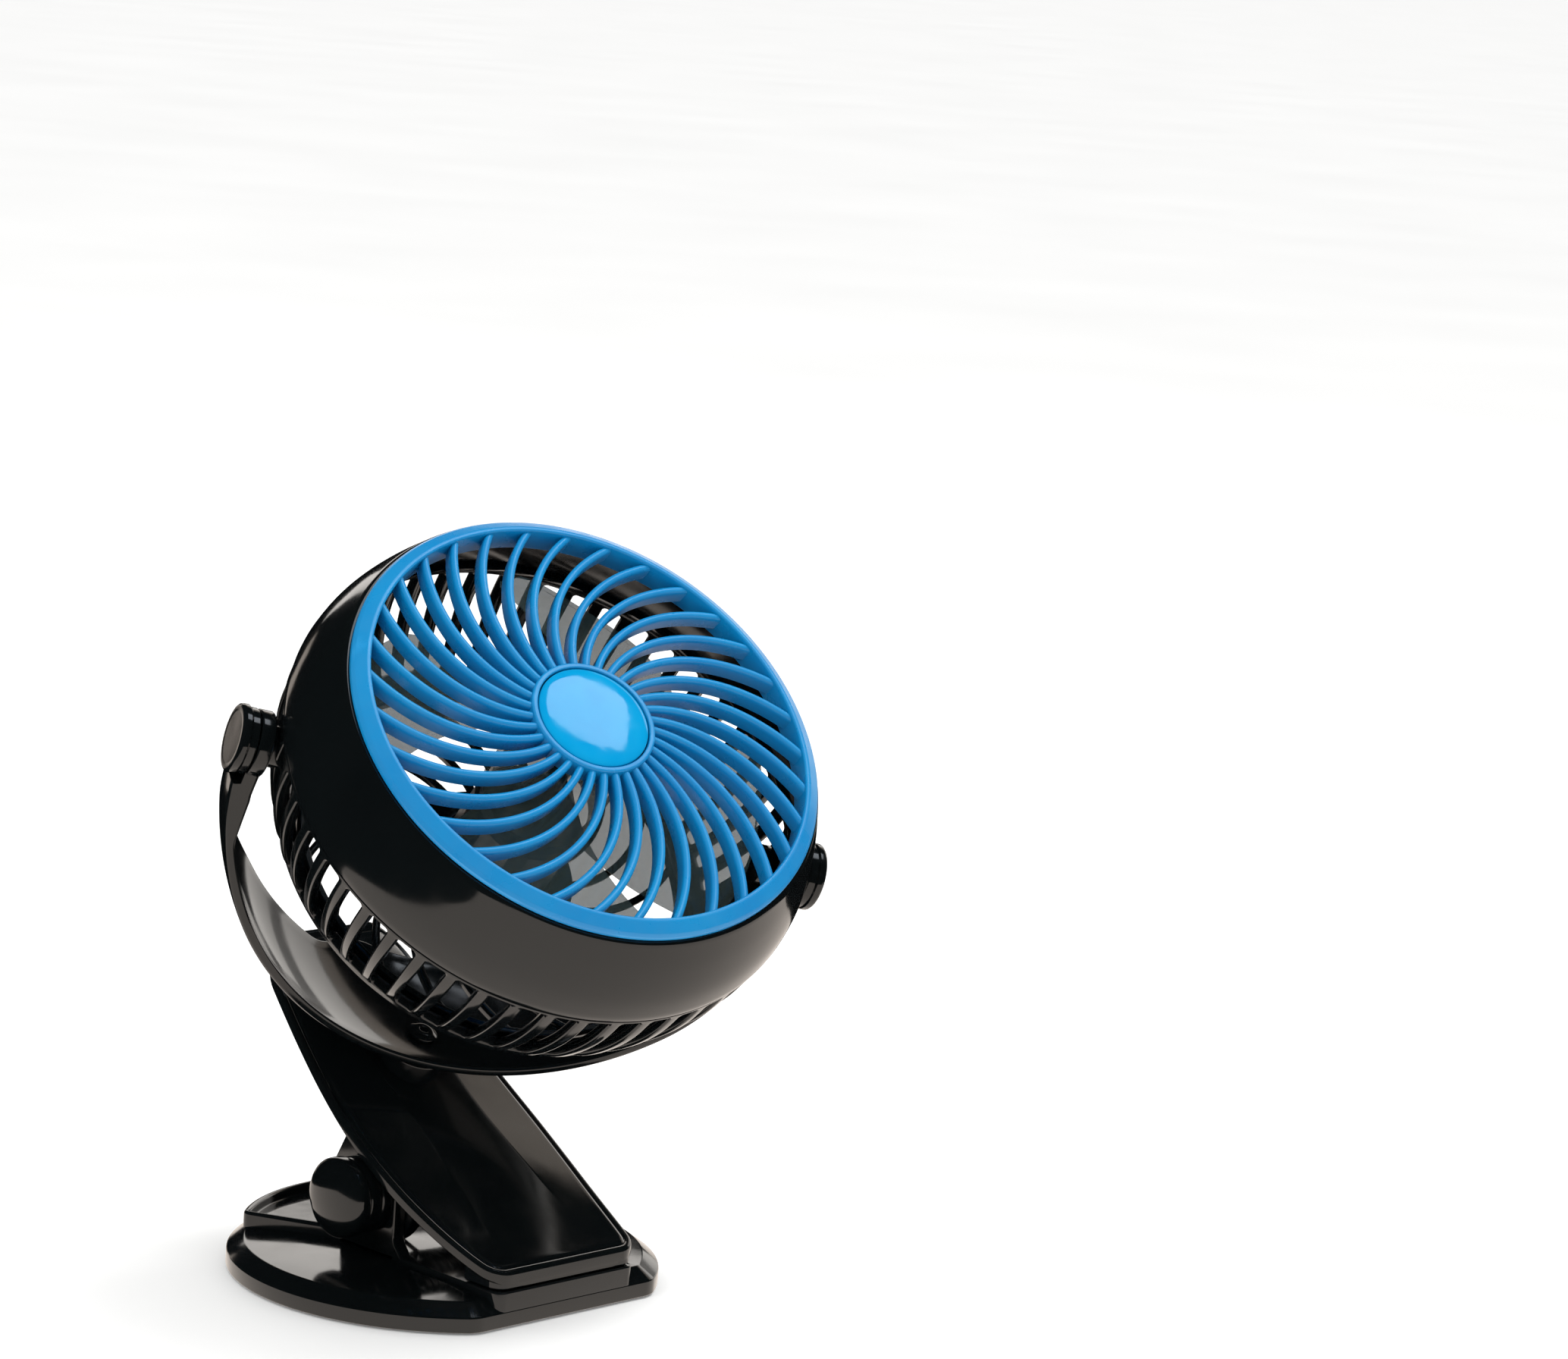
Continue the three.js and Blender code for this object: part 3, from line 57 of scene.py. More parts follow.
# shapes are gathered as points and faces in millimetres
class Form:
    def __init__(self):
        self.points = []
        self.faces = []

    # rows joined in turn: loop closes the last row to the first, and ring closes every row on itself
    def addRows(self, rows, loop=False, ring=False, caps=False, place=None):
        start = len(self.points)
        count = len(rows[0])
        for row in rows:
            self.points.extend(place @ Vector(p) if place else Vector(p) for p in row)
        for i in range(len(rows) if loop else len(rows) - 1):
            below = start + ((i + 1) % len(rows)) * count
            above = start + i * count
            for j in range(count if ring else count - 1):
                k = (j + 1) % count
                self.faces.append((above + j, above + k, below + k, below + j))
        if caps:
            last = start + (len(rows) - 1) * count
            self.faces.append(tuple(range(start, start + count)))
            self.faces.append(tuple(range(last + count - 1, last - 1, -1)))


# a polygon of (x, y) or (x, y, radius) corners, each corner drawn as an arc of its radius
def rounded(corners, steps=4, loop=True):
    points = []
    for i, corner in enumerate(corners):
        here = Vector(corner[:2])
        if len(corner) < 3 or (not loop and i in (0, len(corners) - 1)):
            points.append(tuple(here))
            continue
        before = Vector(corners[i - 1][:2]) - here
        after = Vector(corners[(i + 1) % len(corners)][:2]) - here
        half = before.angle(after) / 2
        reach = min(corner[2] / math.tan(half), before.length * 0.48, after.length * 0.48)
        radius = reach * math.tan(half)
        towards = (before.normalized() + after.normalized()).normalized()
        centre = here + towards * (radius / math.sin(half))
        first = here + before.normalized() * reach - centre
        last = here + after.normalized() * reach - centre
        for k in range(steps + 1):
            arm = (first * (1 - k / steps) + last * (k / steps)).normalized()
            points.append(tuple(centre + arm * radius))
    return points


# the inset and height of each level of a block whose two end edges are rounded
def roundedLevels(low, high, radius, steps=3):
    turns = [math.pi / 2 * k / steps for k in range(steps + 1)]
    arc = [(radius * (1 - math.sin(a)), radius * (1 - math.cos(a))) for a in turns]
    rising = [(inset, low + lift) for inset, lift in arc]
    return rising + [(inset, high - lift) for inset, lift in reversed(arc)]


# an anticlockwise outline with every edge moved inwards
def drawnIn(outline, inset):
    moved = []
    for i in range(len(outline)):
        back, here, ahead = (Vector(outline[(i + step) % len(outline)][:2]) for step in (-1, 0, 1))
        arriving = (here - back).normalized()
        leaving = (ahead - here).normalized()
        inwards = Vector((-arriving.y, arriving.x))
        middle = (inwards + Vector((-leaving.y, leaving.x))).normalized()
        moved.append(tuple(here + middle * (inset / max(0.35, middle.dot(inwards)))))
    return moved


def addStack(form, outlineAt, levels, lay=lambda x, y, h: (x, y, h), place=None):
    rows = [[lay(x, y, height) for x, y in outlineAt(inset)] for inset, height in levels]
    form.addRows(rows, ring=True, caps=True, place=place)


# a block standing on an outline, with rounded ends
def addBlock(form, outline, low, high, radius, lay=lambda x, y, h: (x, y, h), place=None):
    addStack(form, lambda inset: drawnIn(outline, inset), roundedLevels(low, high, radius), lay, place)


# an outline of (y, z) points standing along X
def alongX(y, z, x):
    return (x, y, z)


# a profile of (radius, height) points turned about Z
def addTurned(form, profile, segments=128, loop=True, place=None):
    rows = []
    for k in range(segments):
        angle = 2 * math.pi * k / segments
        rows.append([(r * math.cos(angle), r * math.sin(angle), z) for r, z in profile])
    form.addRows(rows, loop=True, ring=loop, place=place)


def smooth(t):
    t = min(1, max(0, t))
    return t * t * (3 - 2 * t)


# a value read off (position, value) points along a smooth line through them
def along(points, at):
    if at <= points[0][0]:
        return points[0][1]
    if at >= points[-1][0]:
        return points[-1][1]
    slopes = []
    for i in range(len(points)):
        a = points[max(0, i - 1)]
        b = points[min(len(points) - 1, i + 1)]
        slopes.append((b[1] - a[1]) / (b[0] - a[0]))
    for i in range(len(points) - 1):
        x0, v0 = points[i]
        x1, v1 = points[i + 1]
        if at <= x1:
            span = x1 - x0
            t = (at - x0) / span
            rise = (2 * t ** 3 - 3 * t ** 2 + 1) * v0 + (3 * t ** 2 - 2 * t ** 3) * v1
            leaving, arriving = t ** 3 - 2 * t ** 2 + t, t ** 3 - t ** 2
            return rise + span * (leaving * slopes[i] + arriving * slopes[i + 1])
    return points[-1][1]


def makePiece(name, form, body, material, nodes=(), place=standPlace, crease=34):
    mesh = bpy.data.meshes.new(name)
    mesh.from_pydata([(place @ p) * 0.001 for p in form.points], [], form.faces)
    work = bmesh.new()
    work.from_mesh(mesh)
    bmesh.ops.remove_doubles(work, verts=work.verts, dist=3e-6)
    bmesh.ops.recalc_face_normals(work, faces=work.faces)
    work.to_mesh(mesh)
    work.free()
    mesh.shade_smooth()
    mesh.set_sharp_from_angle(angle=math.radians(crease))
    mesh.materials.append(material)
    piece = bpy.data.objects.new(name, mesh)
    bpy.context.scene.collection.objects.link(piece)
    if nodes:
        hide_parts(*nodes)
    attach(piece, body)
    return piece


# an sRGB hex code as the linear colour that the nodes take
def colourOf(code):
    channels = [int(code[i:i + 2], 16) / 255 for i in (1, 3, 5)]
    return tuple(c / 12.92 if c <= 0.04045 else ((c + 0.055) / 1.055) ** 2.4 for c in channels) + (1.0,)


# adds one node: settings go to its sockets or its own properties, links come from other nodes' sockets
def addNode(tree, kind, settings=None, links=None):
    node = tree.nodes.new(kind)
    for key, value in (settings or {}).items():
        if isinstance(key, int) or key in node.inputs:
            node.inputs[key].default_value = value
        else:
            setattr(node, key, value)
    for key, source in (links or {}).items():
        tree.links.new(source, node.inputs[key])
    return node


def startMaterial(name):
    material = bpy.data.materials.new(name)
    material.use_nodes = True
    tree = material.node_tree
    tree.nodes.clear()
    where = addNode(tree, "ShaderNodeTexCoord").outputs["Object"]
    shader = addNode(tree, "ShaderNodeBsdfPrincipled")
    addNode(tree, "ShaderNodeOutputMaterial", links={"Surface": shader.outputs[0]})
    return material, tree, where, shader


# what varies over the surface is linked to the shader, and what is the same all over is set on its own socket
def finishShader(tree, shader, links, settings):
    for key, source in links.items():
        tree.links.new(source, shader.inputs[key])
    for key, value in settings.items():
        shader.inputs[key].default_value = value


# patterns are given by their size in millimetres, and a texture's scale is repeats per metre
def perMetre(size):
    return 1000 / size


# the paler edge colour is a painted highlight on sharp convex edges
glossBlack = {
    "dark": "#050708", "light": "#0c1011", "edgeHighlight": "#23272a",
    "ior": 1.53, "roughness": (0.07, 0.17),
    "cloudSize": 45, "smudgeSize": 14, "rippleSize": 9, "grainSize": 0.45,
}


# moulded ABS from a polished tool: deep black, a clear mirror gloss with a faint orange peel and dull
# smudges, and a painted highlight that makes its sharp edges paler
def mouldedBlack(name="moulded ABS, gloss black", dull=0.0):
    material, tree, where, shader = startMaterial(name)
    g = glossBlack
    cloud = addNode(tree, "ShaderNodeTexNoise", {"Scale": perMetre(g["cloudSize"]), "Detail": 3.0},
                    {"Vector": where})
    tint = addNode(tree, "ShaderNodeMix",
                   {"data_type": "RGBA", 6: colourOf(g["dark"]), 7: colourOf(g["light"])},
                   {0: cloud.outputs[0]})
    # painted highlight: sharp convex edges, found by pointiness, are mixed towards a paler grey
    edges = addNode(tree, "ShaderNodeNewGeometry")
    edgeHighlight = addNode(tree, "ShaderNodeMapRange",
                   {"From Min": 0.53, "From Max": 0.66, "To Min": 0.0, "To Max": 0.35},
                   {"Value": edges.outputs["Pointiness"]})
    tintWithHighlight = addNode(tree, "ShaderNodeMix", {"data_type": "RGBA", 7: colourOf(g["edgeHighlight"])},
                     {0: edgeHighlight.outputs[0], 6: tint.outputs[2]})
    smudge = addNode(tree, "ShaderNodeTexNoise",
                     {"Scale": perMetre(g["smudgeSize"]), "Detail": 5.0, "Roughness": 0.62},
                     {"Vector": where})
    low, high = g["roughness"]
    rough = addNode(tree, "ShaderNodeMapRange",
                    {"From Min": 0.35, "From Max": 0.75, "To Min": low + dull, "To Max": high + dull},
                    {"Value": smudge.outputs[0]})
    ripple = addNode(tree, "ShaderNodeTexNoise", {"Scale": perMetre(g["rippleSize"]), "Detail": 1.0},
                     {"Vector": where})
    grain = addNode(tree, "ShaderNodeTexNoise", {"Scale": perMetre(g["grainSize"]), "Detail": 2.0},
                    {"Vector": where})
    wave = addNode(tree, "ShaderNodeBump", {"Strength": 0.05, "Distance": 0.0004},
                   {"Height": ripple.outputs[0]})
    skin = addNode(tree, "ShaderNodeBump", {"Strength": 0.04 + dull, "Distance": 0.00003},
                   {"Height": grain.outputs[0], "Normal": wave.outputs[0]})
    finishShader(tree, shader,
                 {"Base Color": tintWithHighlight.outputs[2], "Roughness": rough.outputs[0], "Normal": skin.outputs[0]},
                 {"IOR": g["ior"]})
    return material


# the paler edge colour is a painted highlight on sharp convex edges
satinBlue = {"deep": "#0270b0", "bright": "#058ac0", "edgeHighlight": "#2f9ad4", "ior": 1.53,
             "roughness": (0.24, 0.36), "cloudSize": 30, "flowSize": 7, "grainSize": 0.5}


# moulded ABS from a fine-eroded tool: strong sky blue, soft satin highlights and a painted highlight that
# makes its sharp edges paler
def mouldedBlue():
    material, tree, where, shader = startMaterial("moulded ABS, satin blue")
    b = satinBlue
    cloud = addNode(tree, "ShaderNodeTexNoise", {"Scale": perMetre(b["cloudSize"]), "Detail": 4.0},
                    {"Vector": where})
    tint = addNode(tree, "ShaderNodeMix",
                   {"data_type": "RGBA", 6: colourOf(b["deep"]), 7: colourOf(b["bright"])},
                   {0: cloud.outputs[0]})
    # painted highlight: sharp convex edges, found by pointiness, are mixed towards a paler blue
    edges = addNode(tree, "ShaderNodeNewGeometry")
    edgeHighlight = addNode(tree, "ShaderNodeMapRange",
                   {"From Min": 0.52, "From Max": 0.7, "To Min": 0.0, "To Max": 0.4},
                   {"Value": edges.outputs["Pointiness"]})
    tintWithHighlight = addNode(tree, "ShaderNodeMix", {"data_type": "RGBA", 7: colourOf(b["edgeHighlight"])},
                     {0: edgeHighlight.outputs[0], 6: tint.outputs[2]})
    flow = addNode(tree, "ShaderNodeTexNoise", {"Scale": perMetre(b["flowSize"]), "Detail": 3.0},
                   {"Vector": where})
    low, high = b["roughness"]
    rough = addNode(tree, "ShaderNodeMapRange",
                    {"From Min": 0.3, "From Max": 0.7, "To Min": low, "To Max": high},
                    {"Value": flow.outputs[0]})
    grain = addNode(tree, "ShaderNodeTexNoise", {"Scale": perMetre(b["grainSize"]), "Detail": 2.0},
                    {"Vector": where})
    skin = addNode(tree, "ShaderNodeBump", {"Strength": 0.12, "Distance": 0.00004},
                   {"Height": grain.outputs[0]})
    finishShader(tree, shader,
                 {"Base Color": tintWithHighlight.outputs[2], "Roughness": rough.outputs[0], "Normal": skin.outputs[0]},
                 {"IOR": b["ior"]})
    return material


capBlue = {"deep": "#0384bf", "bright": "#0699cc", "ior": 1.53, "coat": 0.25, "roughness": (0.06, 0.14),
           "cloudSize": 12, "smudgeSize": 6, "rippleSize": 11}


# polished ABS disc under clear lacquer: cyan blue with large mirror reflections that bend a little
def polishedCap():
    material, tree, where, shader = startMaterial("lacquered ABS, cyan blue")
    c = capBlue
    cloud = addNode(tree, "ShaderNodeTexNoise", {"Scale": perMetre(c["cloudSize"]), "Detail": 3.0},
                    {"Vector": where})
    tint = addNode(tree, "ShaderNodeMix",
                   {"data_type": "RGBA", 6: colourOf(c["deep"]), 7: colourOf(c["bright"])},
                   {0: cloud.outputs[0]})
    smudge = addNode(tree, "ShaderNodeTexNoise", {"Scale": perMetre(c["smudgeSize"]), "Detail": 5.0},
                     {"Vector": where})
    low, high = c["roughness"]
    rough = addNode(tree, "ShaderNodeMapRange",
                    {"From Min": 0.35, "From Max": 0.7, "To Min": low, "To Max": high},
                    {"Value": smudge.outputs[0]})
    ripple = addNode(tree, "ShaderNodeTexNoise", {"Scale": perMetre(c["rippleSize"]), "Detail": 2.0},
                     {"Vector": where})
    wave = addNode(tree, "ShaderNodeBump", {"Strength": 0.35, "Distance": 0.0006},
                   {"Height": ripple.outputs[0]})
    finishShader(tree, shader,
                 {"Base Color": tint.outputs[2], "Roughness": rough.outputs[0], "Normal": wave.outputs[0]},
                 {"IOR": c["ior"], "Coat Weight": c["coat"], "Coat Roughness": 0.04, "Coat IOR": 1.5})
    return material


smokeBlade = {"clear": "#55625f", "dense": "#38443f", "ior": 1.49, "roughness": (0.05, 0.14), "alpha": 0.62,
              "cloudSize": 26, "flowSize": 10}


# smoked acrylic, moulded thin: a grey-green tint that lets the drum show through, with glassy highlights
def smokedAcrylic():
    material, tree, where, shader = startMaterial("smoked acrylic, clear moulded")
    s = smokeBlade
    cloud = addNode(tree, "ShaderNodeTexNoise", {"Scale": perMetre(s["cloudSize"]), "Detail": 3.0},
                    {"Vector": where})
    tint = addNode(tree, "ShaderNodeMix",
                   {"data_type": "RGBA", 6: colourOf(s["clear"]), 7: colourOf(s["dense"])},
                   {0: cloud.outputs[0]})
    flow = addNode(tree, "ShaderNodeTexNoise", {"Scale": perMetre(s["flowSize"]), "Detail": 3.0},
                   {"Vector": where})
    low, high = s["roughness"]
    rough = addNode(tree, "ShaderNodeMapRange",
                    {"From Min": 0.3, "From Max": 0.7, "To Min": low, "To Max": high},
                    {"Value": flow.outputs[0]})
    wave = addNode(tree, "ShaderNodeBump", {"Strength": 0.1, "Distance": 0.0005}, {"Height": flow.outputs[0]})
    finishShader(tree, shader,
                 {"Base Color": tint.outputs[2], "Roughness": rough.outputs[0], "Normal": wave.outputs[0]},
                 {"IOR": s["ior"], "Alpha": s["alpha"]})
    return material


zincSteel = {"dark": "#8e9093", "light": "#c2c4c5", "roughness": (0.22, 0.42), "spangleSize": 3.5,
             "scratchSize": 0.3}


# zinc-plated steel: pale grey metal with faint crystals in the plating and fine handling scratches
def platedSteel(name="zinc-plated steel", stretch=(1, 1, 1)):
    material, tree, where, shader = startMaterial(name)
    z = zincSteel
    spangle = addNode(tree, "ShaderNodeTexVoronoi", {"Scale": perMetre(z["spangleSize"])}, {"Vector": where})
    tint = addNode(tree, "ShaderNodeMix",
                   {"data_type": "RGBA", 6: colourOf(z["light"]), 7: colourOf(z["dark"])},
                   {0: spangle.outputs["Distance"]})
    drawn = addNode(tree, "ShaderNodeMapping", {"Scale": stretch}, {"Vector": where})
    scratch = addNode(tree, "ShaderNodeTexNoise", {"Scale": perMetre(z["scratchSize"]), "Detail": 3.0},
                      {"Vector": drawn.outputs[0]})
    low, high = z["roughness"]
    rough = addNode(tree, "ShaderNodeMapRange", {"To Min": low, "To Max": high},
                    {"Value": scratch.outputs[0]})
    skin = addNode(tree, "ShaderNodeBump", {"Strength": 0.15, "Distance": 0.00004},
                   {"Height": scratch.outputs[0]})
    finishShader(tree, shader,
                 {"Base Color": tint.outputs[2], "Roughness": rough.outputs[0], "Normal": skin.outputs[0]},
                 {"Metallic": 1.0})
    return material


turnedBrassLook = {"dark": "#9c7a35", "light": "#c9a552", "roughness": (0.25, 0.4), "cloudSize": 5,
                   "ringSize": 0.35}


# turned brass: warm yellow metal with the lathe's fine rings
def turnedBrass():
    material, tree, where, shader = startMaterial("turned brass")
    b = turnedBrassLook
    cloud = addNode(tree, "ShaderNodeTexNoise", {"Scale": perMetre(b["cloudSize"]), "Detail": 3.0},
                    {"Vector": where})
    tint = addNode(tree, "ShaderNodeMix",
                   {"data_type": "RGBA", 6: colourOf(b["dark"]), 7: colourOf(b["light"])},
                   {0: cloud.outputs[0]})
    rings = addNode(tree, "ShaderNodeTexWave", {"Scale": perMetre(b["ringSize"]) / 20, "Distortion": 0.6},
                    {"Vector": where})
    low, high = b["roughness"]
    rough = addNode(tree, "ShaderNodeMapRange", {"To Min": low, "To Max": high}, {"Value": rings.outputs[1]})
    skin = addNode(tree, "ShaderNodeBump", {"Strength": 0.2, "Distance": 0.00004},
                   {"Height": rings.outputs[1]})
    finishShader(tree, shader,
                 {"Base Color": tint.outputs[2], "Roughness": rough.outputs[0], "Normal": skin.outputs[0]},
                 {"Metallic": 1.0})
    return material


gripRubber = {"dark": "#101112", "light": "#1d1e1f", "dust": "#3b3a38", "roughness": (0.62, 0.85),
              "grainSize": 0.6, "cloudSize": 10}


# moulded thermoplastic rubber: dull dark grey, slightly grainy, with pale dust in patches
def mouldedRubber():
    material, tree, where, shader = startMaterial("moulded rubber")
    r = gripRubber
    cloud = addNode(tree, "ShaderNodeTexNoise", {"Scale": perMetre(r["cloudSize"]), "Detail": 4.0},
                    {"Vector": where})
    tint = addNode(tree, "ShaderNodeMix",
                   {"data_type": "RGBA", 6: colourOf(r["dark"]), 7: colourOf(r["light"])},
                   {0: cloud.outputs[0]})
    patch = addNode(tree, "ShaderNodeMapRange",
                    {"From Min": 0.58, "From Max": 0.8, "To Min": 0.0, "To Max": 0.5},
                    {"Value": cloud.outputs[0]})
    dusty = addNode(tree, "ShaderNodeMix", {"data_type": "RGBA", 7: colourOf(r["dust"])},
                    {0: patch.outputs[0], 6: tint.outputs[2]})
    grain = addNode(tree, "ShaderNodeTexNoise", {"Scale": perMetre(r["grainSize"]), "Detail": 3.0},
                    {"Vector": where})
    low, high = r["roughness"]
    rough = addNode(tree, "ShaderNodeMapRange", {"To Min": low, "To Max": high}, {"Value": grain.outputs[0]})
    skin = addNode(tree, "ShaderNodeBump", {"Strength": 0.4, "Distance": 0.00015},
                   {"Height": grain.outputs[0]})
    finishShader(tree, shader,
                 {"Base Color": dusty.outputs[2], "Roughness": rough.outputs[0], "Normal": skin.outputs[0]},
                 {"IOR": 1.52})
    return material


boardLook = {"mask": "#12502f", "shade": "#0f4729", "track": "#1f7343", "roughness": (0.25, 0.45),
             "weaveSize": 0.9, "trackSize": 3.2}


# glass-fibre circuit board under green solder mask: paler copper tracks and the weave just showing
def circuitGreen():
    material, tree, where, shader = startMaterial("glass-fibre board, green mask")
    b = boardLook
    cells = addNode(tree, "ShaderNodeTexBrick",
                    {"Scale": perMetre(b["trackSize"]) / 2, "Mortar Size": 0.03,
                     "Color1": colourOf(b["mask"]),
                     "Color2": colourOf(b["shade"]), "Mortar": colourOf(b["track"])},
                    {"Vector": where})
    weave = addNode(tree, "ShaderNodeTexWave", {"Scale": perMetre(b["weaveSize"]) / 20, "Distortion": 0.3},
                    {"Vector": where})
    low, high = b["roughness"]
    rough = addNode(tree, "ShaderNodeMapRange", {"To Min": low, "To Max": high}, {"Value": weave.outputs[1]})
    skin = addNode(tree, "ShaderNodeBump", {"Strength": 0.2, "Distance": 0.00005},
                   {"Height": cells.outputs[1]})
    finishShader(tree, shader,
                 {"Base Color": cells.outputs[0], "Roughness": rough.outputs[0], "Normal": skin.outputs[0]},
                 {"IOR": 1.55})
    return material


black = mouldedBlack()
duskBlack = mouldedBlack("moulded ABS, textured black", 0.2)
blue = mouldedBlue()
cyan = polishedCap()
smoke = smokedAcrylic()
steel = platedSteel()
springSteel = platedSteel("drawn spring wire", (0.1, 1, 1))
brass = turnedBrass()
rubber = mouldedRubber()
board = circuitGreen()
print("finishes made")


# base and hinge
base = {
    "radius": 58.7, "front": 49.5, "corner": 8, "bottom": 0.6, "rim": 4.8, "chamferWidth": 4.6,
    "chamferTop": 8.0, "top": 8.9, "domeInset": 15, "wall": 2.4, "ceiling": 4.1, "platform": 10.2,
    "platformRear": 4, "jawHalf": 24.7, "trayTop": 12.3, "trayWall": 2, "trayFloor": 9.6, "trayFoot": 1.5,
    "trayRadius": 55.2, "traySide": 37, "trayNeck": 24, "trayCorner": 2.5,
}
hinge = {"y": 3.5, "z": 25, "earRadius": 10.8, "earOuter": 25, "earThickness": 4, "earFlare": 4.4,
         "flareHeight": 5, "lugRadius": 14.3, "lugThickness": 4, "webBack": (23.6, 28), "webTop": 13.4,
         "capRadius": 10.9, "capCore": 9.9, "leftCollar": 8, "rightCollar": 3.2, "domeRise": 3.9,
         "rimWidth": 2.4, "collarDraw": 0.6, "grooveStep": 4, "webChord": 0.86}


def arcPoints(x, y, radius, first, last, steps):
    turns = [first + (last - first) * i / steps for i in range(steps + 1)]
    return [(x + radius * math.cos(a), y + radius * math.sin(a)) for a in turns]


# the disc with its straight front edge
def baseOutline(inset):
    radius = base["radius"] - inset
    front = base["front"] - inset
    corner = base["corner"] - min(inset, base["corner"] - 1)
    y = corner - front
    x = math.sqrt((radius - corner) ** 2 - y * y)
    meet = math.atan2(y, x)
    right = arcPoints(x, y, corner, -math.pi / 2, meet, 9)
    left = arcPoints(-x, y, corner, math.pi - meet, math.pi * 1.5, 9)
    return right + arcPoints(0, 0, radius, meet, math.pi - meet, 120)[1:-1] + left


def trayOutline(wall):
    radius = base["trayRadius"] - wall
    turn = math.acos((base["traySide"] - wall) / radius)
    neck = base["trayNeck"] - wall
    y = hinge["y"] + hinge["earRadius"] + wall
    outline = [(-neck, y, 2), (neck, y, 2)]
    side = arcPoints(0, 0, radius, turn, math.pi - turn, 40)
    corner = base["trayCorner"] - min(wall, 1)
    return rounded(outline + [side[0] + (corner,)] + side[2:-2] + [side[-1] + (corner,)])


def makeBase():
    b = base
    form = Form()
    levels = rounded([(b["wall"], b["ceiling"]), (b["wall"], b["bottom"], 0.4), (0, b["bottom"], 0.5),
                      (0, b["rim"], 0.7), (b["chamferWidth"], b["chamferTop"], 1.0),
                      (b["chamferWidth"] + b["domeInset"], b["top"])], 4, False)
    addStack(form, baseOutline, levels)
    # raised jaw platform
    earOuter = hinge["earOuter"]
    front = hinge["y"] - hinge["earRadius"]
    rear = hinge["y"] + hinge["earRadius"] + b["platformRear"]
    platform = [(-b["jawHalf"], -b["front"], 3), (b["jawHalf"], -b["front"], 3), (earOuter, front, 4),
                (earOuter, rear, 1), (-earOuter, rear, 1), (-earOuter, front, 4)]
    edge = roundedLevels(b["rim"], b["platform"], 0.5)[4:]
    addStack(form, lambda inset: drawnIn(rounded(platform, 5), inset), [(0, b["rim"])] + edge)
    # thumb tray with its rounded rim
    rows = []
    outside = rounded([(0, b["rim"]), (0, b["trayTop"], 0.9), (b["trayWall"], b["trayTop"], 0.9),
                       (b["trayWall"], b["trayFloor"], 0.5), (b["trayWall"] + b["trayFoot"], b["trayFloor"])],
                      4, False)
    for inset, height in outside:
        rows.append([(x, y, height) for x, y in trayOutline(inset)])
    form.addRows(rows, ring=True, caps=True)
    # hinge ears, whose feet run forward onto the platform
    y0 = hinge["y"] - hinge["earRadius"]
    y1 = hinge["y"] + hinge["earRadius"]
    foot = b["rim"] + 1
    ear = [(y0 - hinge["earFlare"], foot), (y1, foot)]
    ear += arcPoints(hinge["y"], hinge["z"], hinge["earRadius"], 0, math.pi, 30)
    ear += [(y0, b["top"] + hinge["flareHeight"], 4), (y0 - hinge["earFlare"], b["top"] - 0.1)]
    for outer in (earOuter, -earOuter + hinge["earThickness"]):
        addBlock(form, rounded(ear), outer - hinge["earThickness"], outer, 0.45, alongX)
    makePiece("baseShell", form, "base", black, ["base_shell"])


# domed cap: a collar with ring grooves, then a wider rim and a flat dome; the right one is short
def makeHingeCaps():
    h = hinge
    inner = h["earOuter"] + slip
    r, core, collar = h["capRadius"], h["capCore"], h["capRadius"] - h["collarDraw"]
    for side, name, length in ((-1, "left", h["leftCollar"]), (1, "right", h["rightCollar"])):
        rim = inner + length
        corners = [(0, inner), (collar, inner, 0.4)]
        for groove in (rim - 1 - h["grooveStep"], rim - 1):
            if groove > inner + 1:
                corners += [(collar, groove, 0.25), (core, groove + 0.3, 0.1), (core, groove + 0.9, 0.1),
                            (collar, groove + 1.2, 0.25)]
        profile = rounded(corners[:-1] + [(r, rim + 0.3, 0.4), (r, rim + h["rimWidth"] - 0.2)], 4, False)
        # the dome runs on from the rim as part of a flattened sphere
        turns = [math.pi / 2 * i / 16 for i in range(1, 17)]
        profile += [(r * math.cos(a), rim + h["rimWidth"] + h["domeRise"] * math.sin(a)) for a in turns]
        form = Form()
        place = Matrix.Translation((0, h["y"], h["z"])) @ turnAbout("Y", 90 * side)
        addTurned(form, profile, 96, False, place)
        makePiece("hingeCap." + name, form, "base", black, ["hinge_cap_" + name])


jawPads = {"x": 22.4, "front": -46.9, "rear": -37.5, "plane": 10.4, "thickness": 1.8, "pitch": 3,
           "tooth": 0.55, "edge": 0.4}


# rubber pads whose teeth run front to back
def makeJawPads():
    p = jawPads
    for side, body, way in (("lower", "base", -1), ("upper", "arm", 1)):
        face = p["plane"] + way * 0.15
        line = []
        count = 60
        for i in range(count + 1):
            x = -p["x"] + 2 * p["x"] * i / count
            turn = 2 * math.pi * x / p["pitch"]
            dip = p["tooth"] * (0.5 - 0.5 * math.cos(turn)) if abs(x) < p["x"] - 1 else 0
            line.append((x, face + way * dip))
        back = face + way * p["thickness"]
        rows = []
        e = p["edge"]
        for y, draw in ((p["front"], e), (p["front"] + e, 0), (p["rear"] - e, 0), (p["rear"], e)):
            row = [(x * (1 - draw / p["x"]), y, z + way * draw * 0.5) for x, z in line]
            rows.append(row + [(p["x"] - draw, y, back), (-p["x"] + draw, y, back)])
        form = Form()
        form.addRows(rows, ring=True, caps=True)
        makePiece("jawPad." + side, form, body, rubber, [side + "_jaw_pad"])


spring = {"wire": 1.8, "mean": 6.6, "curls": 6, "pitch": 2.5, "low": -34, "high": 50, "lowLength": 14.2,
          "highLength": 10.6, "steps": 160, "sides": 12}


